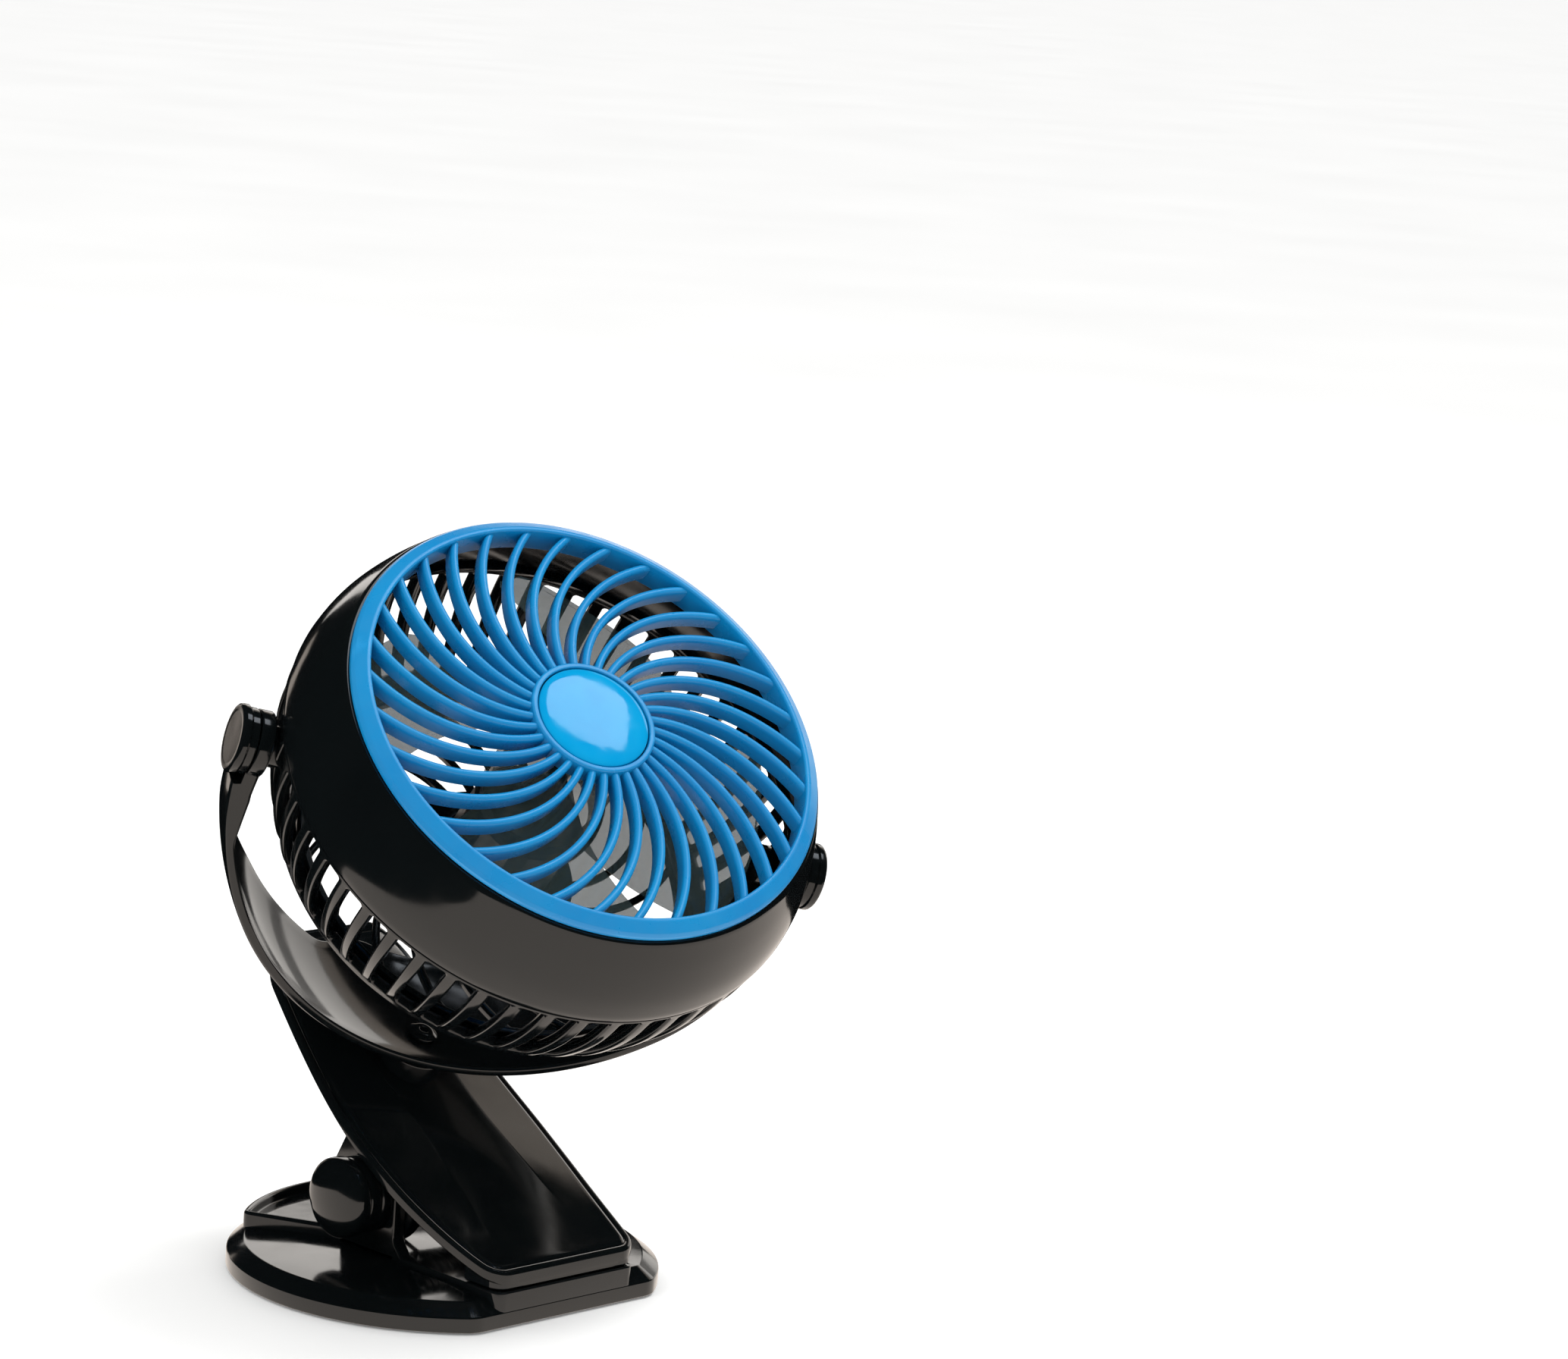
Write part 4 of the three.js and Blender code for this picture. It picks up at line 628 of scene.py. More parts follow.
# torsion spring round the hinge pin: one wire with two straight legs, the upper one short so that the arm
# clears it when the clip opens
def makeSpring():
    s = spring
    half = s["curls"] * s["pitch"] / 2
    low, high = math.radians(s["low"]), math.radians(s["high"])
    total = s["curls"] * 2 * math.pi + math.pi - (high - low)
    start = low - math.pi / 2
    steps = s["steps"]

    def at(angle, x):
        y = hinge["y"] + s["mean"] * math.cos(angle)
        return Vector((x, y, hinge["z"] + s["mean"] * math.sin(angle)))

    lowLeg = Vector((0, math.cos(low), math.sin(low)))
    path = [at(start, -half) + lowLeg * s["lowLength"] * t for t in (1, 0.66, 0.33)]
    path += [at(start - total * i / steps, -half + 2 * half * i / steps) for i in range(steps + 1)]
    end = start - total
    leg = Vector((0, math.sin(end), -math.cos(end)))
    path += [at(end, half) + leg * s["highLength"] * t for t in (0.33, 0.66, 1)]
    rows = []
    for i, p in enumerate(path):
        heading = (path[min(len(path) - 1, i + 1)] - path[max(0, i - 1)]).normalized()
        level = (Vector((1, 0, 0)) - heading * heading.x).normalized()
        across = heading.cross(level)
        ring = [2 * math.pi * k / s["sides"] for k in range(s["sides"])]
        rows.append([p + (level * math.cos(a) + across * math.sin(a)) * s["wire"] / 2 for a in ring])
    form = Form()
    form.addRows(rows, ring=True, caps=True)
    makePiece("torsionSpring", form, "base", springSteel, ["torsion_spring"], crease=60)


makeBase()
makeHingeCaps()
makeJawPads()
makeSpring()
print("base made")


# arm, the upper half of the clip
arm = {
    "tip": -49.2, "top": 55, "tipZ": 15.2, "slope": 0.3518, "curve": 0.002705, "thickness": 3.4, "crown": 3.5,
    "tipCorner": 5, "topCorner": 8, "edge": 0.9, "grooveAt": 2.1, "grooveWidth": 0.45, "grooveDepth": 0.5,
    "halfWidth": [(-49.2, 25.2), (-43, 27), (-36, 28.4), (-26, 29.9), (-15, 31.1), (-3, 31.6), (8, 31.1),
                  (20, 29.8), (32, 27.9), (47, 25.2), (55, 23.8)],
    "crease": [(-49.2, 16), (-35, 15.5), (-20, 13.6), (-5, 12), (10, 11.8), (28, 13), (47, 14.5), (55, 15.1)],
    "seatRadius": 9, "seatTop": 83.2, "seatBottom": 90.2, "jawDepth": 14, "jawBottom": 10.7,
    "recessRadius": 5.2, "recessDepth": 2, "columns": 52,
}


def armEdgeZ(y):
    u = y - arm["tip"] + 0.3
    return arm["tipZ"] + arm["slope"] * u + arm["curve"] * u * u


# distance in from the arm's outline
def armRim(x, y):
    side = along(arm["halfWidth"], y)
    for end, radius in ((arm["tip"], arm["tipCorner"]), (arm["top"], arm["topCorner"])):
        away = abs(y - end)
        if away < radius and abs(x) > side - radius:
            return radius - math.hypot(abs(x) - side + radius, radius - away)
    return min(side - abs(x), y - arm["tip"], arm["top"] - y)


def armTopZ(x, y):
    a = arm
    crown = a["crown"] * smooth((y - a["tip"] - 6) / 40)
    crease = along(a["crease"], y)
    edge = along(a["halfWidth"], y)
    fall = max(0, abs(x) - crease) / max(1, edge - crease)
    rim = max(0, armRim(x, y))
    lift = crown * (1 - fall) - a["grooveDepth"] * math.exp(-((rim - a["grooveAt"]) / a["grooveWidth"]) ** 2)
    if rim < a["edge"]:
        lift -= a["edge"] - math.sqrt(a["edge"] ** 2 - (a["edge"] - rim) ** 2)
    return armEdgeZ(y) + lift


def makeArm():
    a = arm
    form = Form()
    near = [0, 0.08, 0.25, 0.5, 0.8, 1.15, 1.45, 1.7, 1.9, 2.1, 2.3, 2.5, 2.8, 3.4, 4.4]
    ys = [a["tip"] + d for d in near]
    first, last = a["tip"] + 5.4, a["top"] - 9.4
    ys += [first + (last - first) * i / a["columns"] for i in range(a["columns"] + 1)]
    ys += [a["top"] - d for d in (8, 6.8, 5.6)] + [a["top"] - d for d in reversed(near)]
    rows = []
    for y in ys:
        side = along(a["halfWidth"], y)
        half = side
        for end, radius in ((a["tip"], a["tipCorner"]), (a["top"], a["topCorner"])):
            away = min(radius, abs(y - end))
            half -= radius - math.sqrt(radius ** 2 - (radius - away) ** 2)
        crease = min(along(a["crease"], y), half - 6)
        right = [half - d for d in near]
        right += [right[-1] + (crease + 0.5 - right[-1]) * t for t in (0.25, 0.5, 0.75, 1)]
        right += [crease, crease - 0.5] + [(crease - 0.5) * t for t in (0.75, 0.5, 0.25)]
        xs = [-x for x in right] + [0] + right[::-1]
        top = [(x, y, armTopZ(x, y)) for x in xs]
        under = a["thickness"]
        low = armEdgeZ(y) - under
        below = [(x, y, armTopZ(x * 0.985, y) - under if abs(x) < half - 3 else low)
                 for x in xs[2:-2:3][::-1]]
        right = [(half, y, low + 0.4), (half - 0.4, y, low)]
        left = [(-half + 0.4, y, low), (-half, y, low + 0.4)]
        rows.append(top + right + below + left)
    form.addRows(rows, ring=True, caps=True)
    # jaw under the tip, its top hidden in the plate
    tip, half = a["tip"], base["jawHalf"]
    jaw = rounded([(-half, tip, 4), (half, tip, 4), (half, tip + a["jawDepth"], 1),
                   (-half, tip + a["jawDepth"], 1)], 6)
    bottom = [(x, y, a["jawBottom"]) for x, y in drawnIn(jaw, 0.4)]
    body = [(x, y, a["jawBottom"] + 0.4) for x, y in jaw]
    top = [(x, y, armEdgeZ(y) - 1.2) for x, y in drawnIn(jaw, 0.3)]
    form.addRows([bottom, body, top], ring=True, caps=True)
    # two lugs down to the hinge pin
    y0 = hinge["y"] - hinge["lugRadius"] * hinge["webChord"]
    start = math.pi - math.acos(hinge["webChord"])
    webTop = hinge["webTop"]
    lug = [hinge["webBack"] + (1.5,), (webTop, armEdgeZ(webTop) - 0.9), (y0, armEdgeZ(y0) - 0.9)]
    lug += arcPoints(hinge["y"], hinge["z"], hinge["lugRadius"], start, 2 * math.pi - 0.5, 40)
    outer = hinge["earOuter"] - hinge["earThickness"] - slip
    for x in (outer - hinge["lugThickness"], -outer):
        addBlock(form, rounded(lug), x, x + hinge["lugThickness"], 0.5, alongX)
    # round seat of the swivel
    r, bore = a["seatRadius"], a["recessRadius"]
    top, bottom = -a["seatTop"], -a["seatBottom"]
    floor = bottom + a["recessDepth"]
    seat = rounded([(0, top), (r, top, 0.7), (r, bottom, 0.7), (bore, bottom, 0.3), (bore, floor, 0.3),
                    (0, floor)], 4, False)
    addTurned(form, seat, 64, False, swivelPlace)
    makePiece("armShell", form, "arm", black, ["arm_shell"], crease=38)


makeArm()
print("arm made")


# yoke and its knobs
yoke = {
    "radius": 79, "thickness": 2.6, "front": 13, "rear": 20, "tab": 8, "endHalf": 6.3, "edge": 0.9,
    "earInner": 74.4, "earRadius": 8.8, "earThickness": 4, "knobRadius": 9.2, "knobBarrel": 8.7,
    "knobThickness": 4.9, "knobNeck": 2.2, "narrowFrom": 48, "narrowOver": 38, "tabFrom": 26, "tabOver": 14,
}
swivelScrew = {"radius": 4.1, "height": 1.8, "socketRadius": 1.2, "socketFloor": 0.9, "shankRadius": 2,
               "shankEnd": -91.2}


# the bow's outline angles: even steps, with a sharp step where the knob's spot face begins
def bowAngles():
    half = [82 * i / 60 for i in range(61)] + [83.05, 83.35, 85.5, 87.5, 90]
    return [-a for a in half[:0:-1]] + half


def makeYoke():
    k = yoke
    form = Form()
    outerRadius = k["radius"] + k["thickness"]
    earOuter = k["earInner"] + k["earThickness"]
    recess = k["knobRadius"] + 0.4
    rows = []
    for angle in bowAngles():
        reach = abs(angle)
        narrow = smooth((reach - k["narrowFrom"]) / k["narrowOver"])
        front = -k["front"] + (k["front"] - k["endHalf"]) * narrow
        tab = k["tab"] * smooth((k["tabFrom"] - reach) / k["tabOver"])
        rear = k["rear"] + tab + (k["endHalf"] - k["rear"]) * narrow
        sin, cos = math.sin(math.radians(angle)), math.cos(math.radians(angle))
        limit = k["earInner"] / abs(sin) if reach > 45 else 1e9
        depth = outerRadius - min(k["radius"], limit)
        e = k["edge"]
        section = rounded([(front, 0, e), (rear, 0, e), (rear, depth, e), (front, depth, e)], 4)
        # the flat runs of the section are split, so that the dished faces stay smooth
        loop = []
        for j, (y, d) in enumerate(section):
            nextY, nextD = section[(j + 1) % len(section)]
            parts = 14 if abs(nextY - y) > 4 else 1
            loop += [(y + (nextY - y) * t / parts, d + (nextD - d) * t / parts) for t in range(parts)]
        row = []
        for y, d in loop:
            radius = outerRadius - d
            dished = radius if d > depth * 0.5 and reach > 80 else math.sqrt(radius * radius - y * y)
            x, z = dished * sin, -dished * cos
            if abs(outerRadius * cos) < recess:
                x = max(-earOuter, min(earOuter, x))
            row.append((x, y, z))
        rows.append(row)
    form.addRows(rows, ring=True, caps=True)
    r = k["earRadius"]
    low = k["earInner"]
    barrel = rounded([(0, low), (r, low, 0.6), (r, earOuter, 0.5), (0, earOuter)], 5, False)
    for side in (-1, 1):
        addTurned(form, barrel, 72, False, turnAbout("Y", 90 * side))
    makePiece("yokeBow", form, "yoke", black, ["yoke"], yokePlace, 40)


# thumb knob: a barrel behind a slightly wider face
def makeKnobs():
    k = yoke
    inner = k["earInner"] + k["earThickness"] + slip
    outer = inner + k["knobThickness"]
    r, barrel = k["knobRadius"], k["knobBarrel"]
    profile = rounded([(0, inner), (barrel, inner, 0.5), (barrel, inner + k["knobNeck"], 0.3),
                       (r, inner + k["knobNeck"] + 0.5, 0.3), (r, outer, 1.1), (r - 2.2, outer - 0.12, 0.8),
                       (0, outer - 0.1)], 5, False)
    for side, name in ((-1, "left"), (1, "right")):
        form = Form()
        addTurned(form, profile, 96, False, turnAbout("Y", 90 * side))
        makePiece("tiltKnob." + name, form, "knob_" + name, black, ["tilt_knob_" + name],
                  yokePlace)


# black pan-head screw in the middle of the bow, with a socket in its head and its shank through the seat
def makeSwivelScrew():
    w = swivelScrew
    low = -yoke["radius"] + 0.2
    r, socket = w["radius"], w["socketRadius"]
    top, floor = low + w["height"], low + w["socketFloor"]
    form = Form()
    profile = rounded([(0, low), (r, low, 0.2), (r, low + 1.0, 0.5), (r * 0.6, top, 2), (socket, top, 0.3),
                       (socket, floor, 0.2), (0, floor)], 5, False)
    addTurned(form, profile, 64, False)
    shank, end = w["shankRadius"], w["shankEnd"]
    addTurned(form, [(0, end), (shank, end), (shank, low + 0.4), (0, low + 0.4)], 24, False)
    makePiece("swivelScrew", form, "arm", black, ["swivel_screw"], swivelPlace)


makeYoke()
makeKnobs()
makeSwivelScrew()
print("yoke made")


# the head's two shells and rear grille
drum = {
    "line": [(-27, 59.0), (-25, 60.6), (-20, 64.6), (-10, 69.3), (0, 72.3), (10.8, 73.65), (13, 73.95),
             (20, 73.1), (28, 70.6), (36.6, 66.9)],
    "crease": 10.9, "wall": 2.2, "front": 36.6, "slotTop": 9.4, "slotEnd": -23.0, "slotCorner": 1.1,
    "cells": 50, "twist": -1, "phase": 3.25, "barTop": 3.4, "barEnd": 2.7, "thickness": 3.0, "edge": 0.7,
    "bossRadius": 5.5, "bossStart": 66, "bossEnd": 73.8, "seat": 55.9, "rimWidth": 2,
    "rimFront": -23.6, "rimBack": -26.6, "rearHub": 24, "rearFace": -28.6, "rearHubDepth": 2.6,
    "rearReach": 60.4, "rearRise": 2.7, "ribs": 18, "ribWidth": 2, "ribSweep": 34,
    "motorRingOuter": 17.7, "motorRingInner": 15.9, "motorRingHeight": 6,
}


def drumRadius(z):
    return along(drum["line"], z)


def makeFrontShell():
    d = drum
    form = Form()
    crease, front, wall = d["crease"], d["front"], d["wall"]
    levels = 26
    heights = [crease + 0.35 + (front - 0.4 - crease - 0.35) * i / levels for i in range(levels + 1)]
    outer = [(drumRadius(z), z) for z in heights]
    lip = drumRadius(front)
    foot = drumRadius(crease)
    ends = [(lip - 0.12, front - 0.1), (lip - 0.45, front), (lip - wall, front)]
    bore = [(lip - wall, front - 2), (foot - wall, crease + 0.4), (foot - 0.9, crease + 0.1),
            (foot - 0.3, crease + 0.15)]
    addTurned(form, outer + ends + bore, 200)
    makePiece("frontShell", form, "head", black, ["front_shell"], headPlace)


# the slotted wall: v runs down its outline, x round it from a cell's middle, and depth into it
class DrumWall:
    def __init__(self):
        d = drum
        steps = 60
        self.samples = []
        length = 0
        last = None
        for i in range(steps + 1):
            z = d["slotTop"] + 0.5 - (d["slotTop"] + 0.5 - d["slotEnd"] + 0.8) * i / steps
            here = Vector((drumRadius(z), z))
            if last is not None:
                length += (here - last).length
            self.samples.append((length, here))
            last = here
        self.length = length

    def onLine(self, v):
        t = min(len(self.samples) - 1.001, max(0, v / self.length * (len(self.samples) - 1)))
        i = int(t)
        here = self.samples[i][1].lerp(self.samples[i + 1][1], t - i)
        run = (self.samples[i + 1][1] - self.samples[i][1]).normalized()
        return here, Vector((-run.y, run.x))

    def pitch(self, v):
        return 2 * math.pi * self.onLine(v)[0].x / drum["cells"]

    def lean(self, v):
        return math.radians(drum["twist"]) * v / self.length

    def slotHalf(self, v):
        t = smooth(v / self.length)
        return (self.pitch(v) - drum["barTop"] * (1 - t) - drum["barEnd"] * t) / 2

    def point(self, middle, x, v, depth):
        here, outward = self.onLine(v)
        angle = middle + self.lean(v) + x / here.x
        r = here.x - outward.x * depth
        return (r * math.cos(angle), r * math.sin(angle), here.y - outward.y * depth)


def makeRearShell():
    d = drum
    form = Form()
    wall = DrumWall()
    top, end = 0.5, wall.length - 0.9
    radius = d["slotCorner"]
    # right half of the slot's outline: each point, the way out of it, and its partner on the cell's border
    half = [((0, top), (0, -1), (0, 0))]
    s = wall.slotHalf(top)
    for k in range(7):
        a = math.pi / 2 * k / 6
        out = (math.sin(a), -math.cos(a))
        p = (s - radius + radius * out[0], top + radius + radius * out[1])
        border = (wall.pitch(0) / 2 * (0.4 + 0.6 * k / 3), 0)
        if k > 3:
            border = (None, (top + radius) * (k - 3) / 4)
        half.append((p, out, border))
    sides = 16
    for k in range(1, sides):
        v = top + radius + (end - top - 2 * radius) * k / sides
        half.append(((wall.slotHalf(v), v), (1, 0), (None, v)))
    s = wall.slotHalf(end)
    for k in range(7):
        a = math.pi / 2 * k / 6
        out = (math.cos(a), math.sin(a))
        p = (s - radius + radius * out[0], end - radius + radius * out[1])
        low = end - radius
        border = (None, low + (wall.length - low) * (k + 1) / 4)
        if k >= 3:
            border = (wall.pitch(wall.length) / 2 * (1 - 0.6 * (k - 3) / 3), wall.length)
        half.append((p, out, border))
    half.append(((0, end), (0, 1), (0, wall.length)))
    outline = [(p, o, b, 1) for p, o, b in half]
    for p, o, b in half[-2:0:-1]:
        outline.append(((-p[0], p[1]), (-o[0], o[1]), (None if b[0] is None else -b[0], b[1]), -1))
    # each ring's offset from the slot's outline and depth, from the inner skin over the edge to the outer
    e, thick = d["edge"], d["thickness"]
    ringsAt = [(0.4, thick), (0.12, thick - 0.12), (0, thick - 0.4), (0, e)]
    ringsAt += [(e * (1 - math.cos(a)), e * (1 - math.sin(a))) for a in (0.4, 0.8, 1.2, math.pi / 2)]

    def borderPoint(middle, b, side, depth):
        x = side * wall.pitch(b[1]) / 2 if b[0] is None else b[0]
        return wall.point(middle, x, b[1], depth)

    sideVs = [0] + [b[1] for p, o, b in half if b[0] is None] + [wall.length]
    topXs = [b[0] for p, o, b in half[:5] if b[0] is not None]
    topXs = [-x for x in topXs[:0:-1]] + topXs
    lowXs = [b[0] for p, o, b in half[-5:] if b[0] is not None][::-1]
    lowXs = [-x for x in lowXs[:0:-1]] + lowXs
    foot = drumRadius(d["crease"])
    crown = [(foot - 0.1, d["crease"] - 0.4), (foot - 0.5, d["crease"] - 0.2),
             (foot - 2.4, d["crease"] - 0.2), (foot - 2.6, d["crease"] + 2.8),
             (foot - 4.4, d["crease"] + 2.8)]
    tail = [(61.6, -24.6), (60.7, -25.9), (59.4, -26.9), (57.6, -27.0), (56.6, -26.4), (56.3, -25.2),
            (56.8, -24.0)]
    for cell in range(d["cells"]):
        middle = math.radians(d["phase"]) + 2 * math.pi * (cell + 0.5) / d["cells"]
        # the cell at each pivot is left solid
        if (cell + 1) % (d["cells"] // 2) == 0:
            for depth in (0, thick):
                rows = []
                for v in sideVs:
                    widen = wall.pitch(v) / wall.pitch(0)
                    rows.append([wall.point(middle, x * widen, v, depth) for x in topXs])
                form.addRows(rows)
        else:
            rows = [[borderPoint(middle, b, side, thick) for p, o, b, side in outline]]
            for offset, depth in ringsAt:
                moved = [(p[0] + o[0] * offset, p[1] + o[1] * offset) for p, o, b, side in outline]
                rows.append([wall.point(middle, x, v, depth) for x, v in moved])
            rows.append([borderPoint(middle, b, side, 0) for p, o, b, side in outline])
            form.addRows(rows, ring=True)
        # crown above the slots and ring below them close the wall
        for xs, v, profile in ((topXs, 0, crown), (lowXs, wall.length, tail)):
            columns = []
            for x in xs:
                here = wall.onLine(v)[0]
                angle = middle + wall.lean(v) + x / here.x
                points = [(r * math.cos(angle), r * math.sin(angle), z) for r, z in profile]
                columns.append([wall.point(middle, x, v, 0)] + points + [wall.point(middle, x, v, thick)])
            form.addRows(columns)
    r = d["bossRadius"]
    start, end = d["bossStart"], d["bossEnd"]
    boss = rounded([(0, start), (r, start), (r, end, 0.4), (0, end)], 4, False)
    for side in (-1, 1):
        addTurned(form, boss, 56, False, turnAbout("Y", 90 * side))
    makePiece("rearShell", form, "head", black, ["rear_shell"], headPlace, 42)


# round grille inside the rear ring: a rim, spiral ribs and the hub that carries the motor
def makeRearGrille():
    d = drum
    form = Form()
    seat, front, back = d["seat"], d["rimFront"], d["rimBack"]
    bore = seat - d["rimWidth"]
    rim = [(seat, front, 0.4), (bore, front, 0.4), (bore, back, 0.5), (seat, back, 0.5)]
    addTurned(form, rounded(rim, 4), 150)

    def face(r):
        return d["rearFace"] + 2.2 + (r - d["rearHub"]) / (d["rearReach"] - d["rearHub"]) * d["rearRise"]

    for i in range(d["ribs"]):
        start = 2 * math.pi * i / d["ribs"]
        addSpiralRib(form, start, d["rearHub"] - 1, seat - 1, -d["ribSweep"], d["ribWidth"], face, 2, 1.2, 18)
    # the hub, with the ring that the motor stands in
    r, outer, inner = d["rearHub"], d["motorRingOuter"], d["motorRingInner"]
    low = d["rearFace"] - 0.4
    floor = d["rearFace"] + d["rearHubDepth"]
    top = d["rearFace"] + d["motorRingHeight"]
    hub = rounded([(0, low), (r, low, 0.5), (r, floor, 0.6), (outer, floor, 0.3), (outer, top, 0.4),
                   (inner, top, 0.3), (inner, floor), (0, floor)], 4, False)
    addTurned(form, hub, 96, False)
    makePiece("rearGrille", form, "head", black, ["rear_grille"], headPlace, 42)


# a swept rib with a rounded face
def addSpiralRib(form, start, r0, r1, sweep, width, face, depth, bend, steps):
    section = [(-0.38, 1.0), (-0.5, 0.35), (-0.5, 0.2)]
    section += [(0.5 * math.cos(a), 0.2 - 0.2 * math.sin(a)) for a in (2.6, 2.1, math.pi / 2, 1.04, 0.54)]
    section += [(0.5, 0.2), (0.5, 0.35), (0.38, 1.0)]
    rows = []
    for i in range(steps + 1):
        t = i / steps
        r = r0 + (r1 - r0) * t
        angle = start - math.radians(sweep) * t ** bend
        slope = -math.radians(sweep) * bend * t ** (bend - 1) * r / (r1 - r0) if i else 0
        heading = angle + math.atan(slope)
        side = Vector((-math.sin(heading), math.cos(heading), 0)) * width
        at = Vector((r * math.cos(angle), r * math.sin(angle), face(r)))
        rows.append([at + side * x - Vector((0, 0, depth * z)) for x, z in section])
    form.addRows(rows, ring=True, caps=True)


makeFrontShell()
makeRearShell()
makeRearGrille()
print("shells made")


# front grille with its cap
grille = {
    "radius": 66, "front": 38.2, "ring": 4.6, "rise": 2.6, "seat": 64.4, "back": 33, "ribs": 33,
    "ribWidth": 2.1, "ribDepth": 4.8, "sweep": 33, "bend": 1.2, "phase": 6.5, "hubRadius": 17.4,
    "hubWidth": 1.6, "hubFront": 41.8, "hubDepth": 5.8, "hubFloor": 1.6, "shoulder": 36.9, "dome": 1.5,
}


def makeGrille():
    g = grille
    form = Form()
    inner = g["radius"] - g["ring"]
    outer, seat, front, back = g["radius"], g["seat"], g["front"], g["back"]
    top = front + g["rise"]
    ring = rounded([(inner, back, 0.4), (inner, top, 0.7), (inner + 1.3, top - 0.1, 1.2),
                    (outer - 0.7, front + 0.9, 1.2), (outer, front, 0.5), (outer, g["shoulder"], 0.2),
                    (seat, g["shoulder"], 0.1), (seat, back, 0.3)], 5)
    addTurned(form, ring, 200)
    hubBack = g["hubFront"] - g["hubDepth"]
    floor = hubBack + g["hubFloor"]
    bore = g["hubRadius"] - g["hubWidth"]
    hubOuter, hubFront = g["hubRadius"], g["hubFront"]
    hub = rounded([(0, hubBack), (hubOuter, hubBack, 0.4), (hubOuter, hubFront, 0.6), (bore, hubFront, 0.35),
                   (bore, floor), (0, floor)], 5, False)
    addTurned(form, hub, 120, False)

    def face(r):
        drop = hubFront - 0.7 - (top - 0.9)
        return hubFront - 0.7 - (r - hubOuter) / (inner - hubOuter) * drop

    for i in range(g["ribs"]):
        start = 2 * math.pi * i / g["ribs"] + math.radians(g["phase"])
        addSpiralRib(form, start, g["hubRadius"] - 0.8, inner + 1, g["sweep"], g["ribWidth"], face,
                     g["ribDepth"], g["bend"], 30)
    makePiece("frontGrille", form, "head", blue, ["front_grille"], headPlace, 40)


def makeGrilleCap():
    g = grille
    back = g["hubFront"] - 3.9
    r = g["hubRadius"] - g["hubWidth"] - slip
    front = g["hubFront"] - 0.4
    side = [(0, back), (r, back), (r, front - 0.3), (r - 0.12, front + 0.05), (r - 0.4, front + 0.25)]
    dome = [(r * math.cos(a), front + g["dome"] * math.sin(a))
            for a in [math.pi / 2 * i / 14 for i in range(4, 14)]]
    form = Form()
    addTurned(form, side + dome + [(0, front + g["dome"])], 120, False)
    makePiece("grilleCap", form, "head", cyan, ["grille_cap"], headPlace)


rotor = {"blades": 4, "radius": 57, "thickness": 1.5, "front": 29, "rear": 9, "hub": 16, "back": 1.1,
         "span": 58, "spanGrowth": 8, "sweep": 28, "camber": 2.2, "tipFrom": 0.86, "tipChord": 0.66,
         "bore": 1.8, "sleeve": 3.7, "hubWall": 1.6}


def makeBlades():
    o = rotor
    form = Form()
    steps, chord = 22, 20
    for blade in range(o["blades"]):
        start = 2 * math.pi * blade / o["blades"]
        rows = []
        for i in range(steps + 1):
            t = i / steps
            radius = o["hub"] - 0.8 + (o["radius"] - o["hub"] + 0.8) * t
            # the tip is rounded: its chord shortens over the last part
            tipRound = math.sqrt(max(0, 1 - (max(0, t - o["tipFrom"]) / (1 - o["tipFrom"])) ** 2))
            full = o["span"] + o["spanGrowth"] * t
            span = full * (o["tipChord"] + (1 - o["tipChord"]) * tipRound)
            lead = start + math.radians(o["sweep"] * t - 4 - (full - span) * 0.5)
            front, rear = o["front"] - 2.5 * t, o["rear"] + 6.5 * t
            upper, lower = [], []
            for j in range(chord + 1):
                s = j / chord
                angle = lead - math.radians(span) * s
                z = front + (rear - front) * s - o["camber"] * math.sin(math.pi * s)
                thin = o["thickness"] * 0.5 * max(0.15, min(1, 6 * s, 6 * (1 - s)) ** 0.5)
                upper.append((radius * math.cos(angle), radius * math.sin(angle), z + thin))
                lower.append((radius * math.cos(angle), radius * math.sin(angle), z - thin))
            rows.append(upper + lower[::-1])
        form.addRows(rows, ring=True, caps=True)
    front = o["front"] + 2.5
    bore, sleeve, rim, back = o["bore"], o["sleeve"], o["hub"], o["back"]
    inside, under, skirt = rim - o["hubWall"], front - 2, back + 4
    hub = rounded([(bore, back), (sleeve, back, 0.2), (sleeve, under), (inside, under, 0.6),
                   (inside, skirt, 0.4), (rim, skirt, 0.4), (rim, front, 3), (4, front, 0.5),
                   (3.4, front + 0.6, 0.5), (bore, front + 0.6, 0.3)], 5)
    addTurned(form, hub, 96)
    makePiece("fanBlades", form, "rotor", smoke, ["fan_blades"], headPlace, 40)


makeGrille()
makeGrilleCap()
makeBlades()
print("grille and rotor made")


# motor cover and speed dial at the back of the head
cover = {"front": -29.3, "depth": 10.5, "radius": 24, "wall": 1.8, "socketWidth": 9.2, "socketHeight": 3.4,
         "socketZ": -34.9, "lipWidth": 0.9, "ticks": 4, "firstTick": -225, "tickStep": 90, "tickIn": 10,
         "tickOut": 12.4}
dial = {"radius": 8, "height": 4.2, "flutes": 12, "fluteDepth": 0.45, "stem": 3, "stemLength": 6,
        "segments": 144}
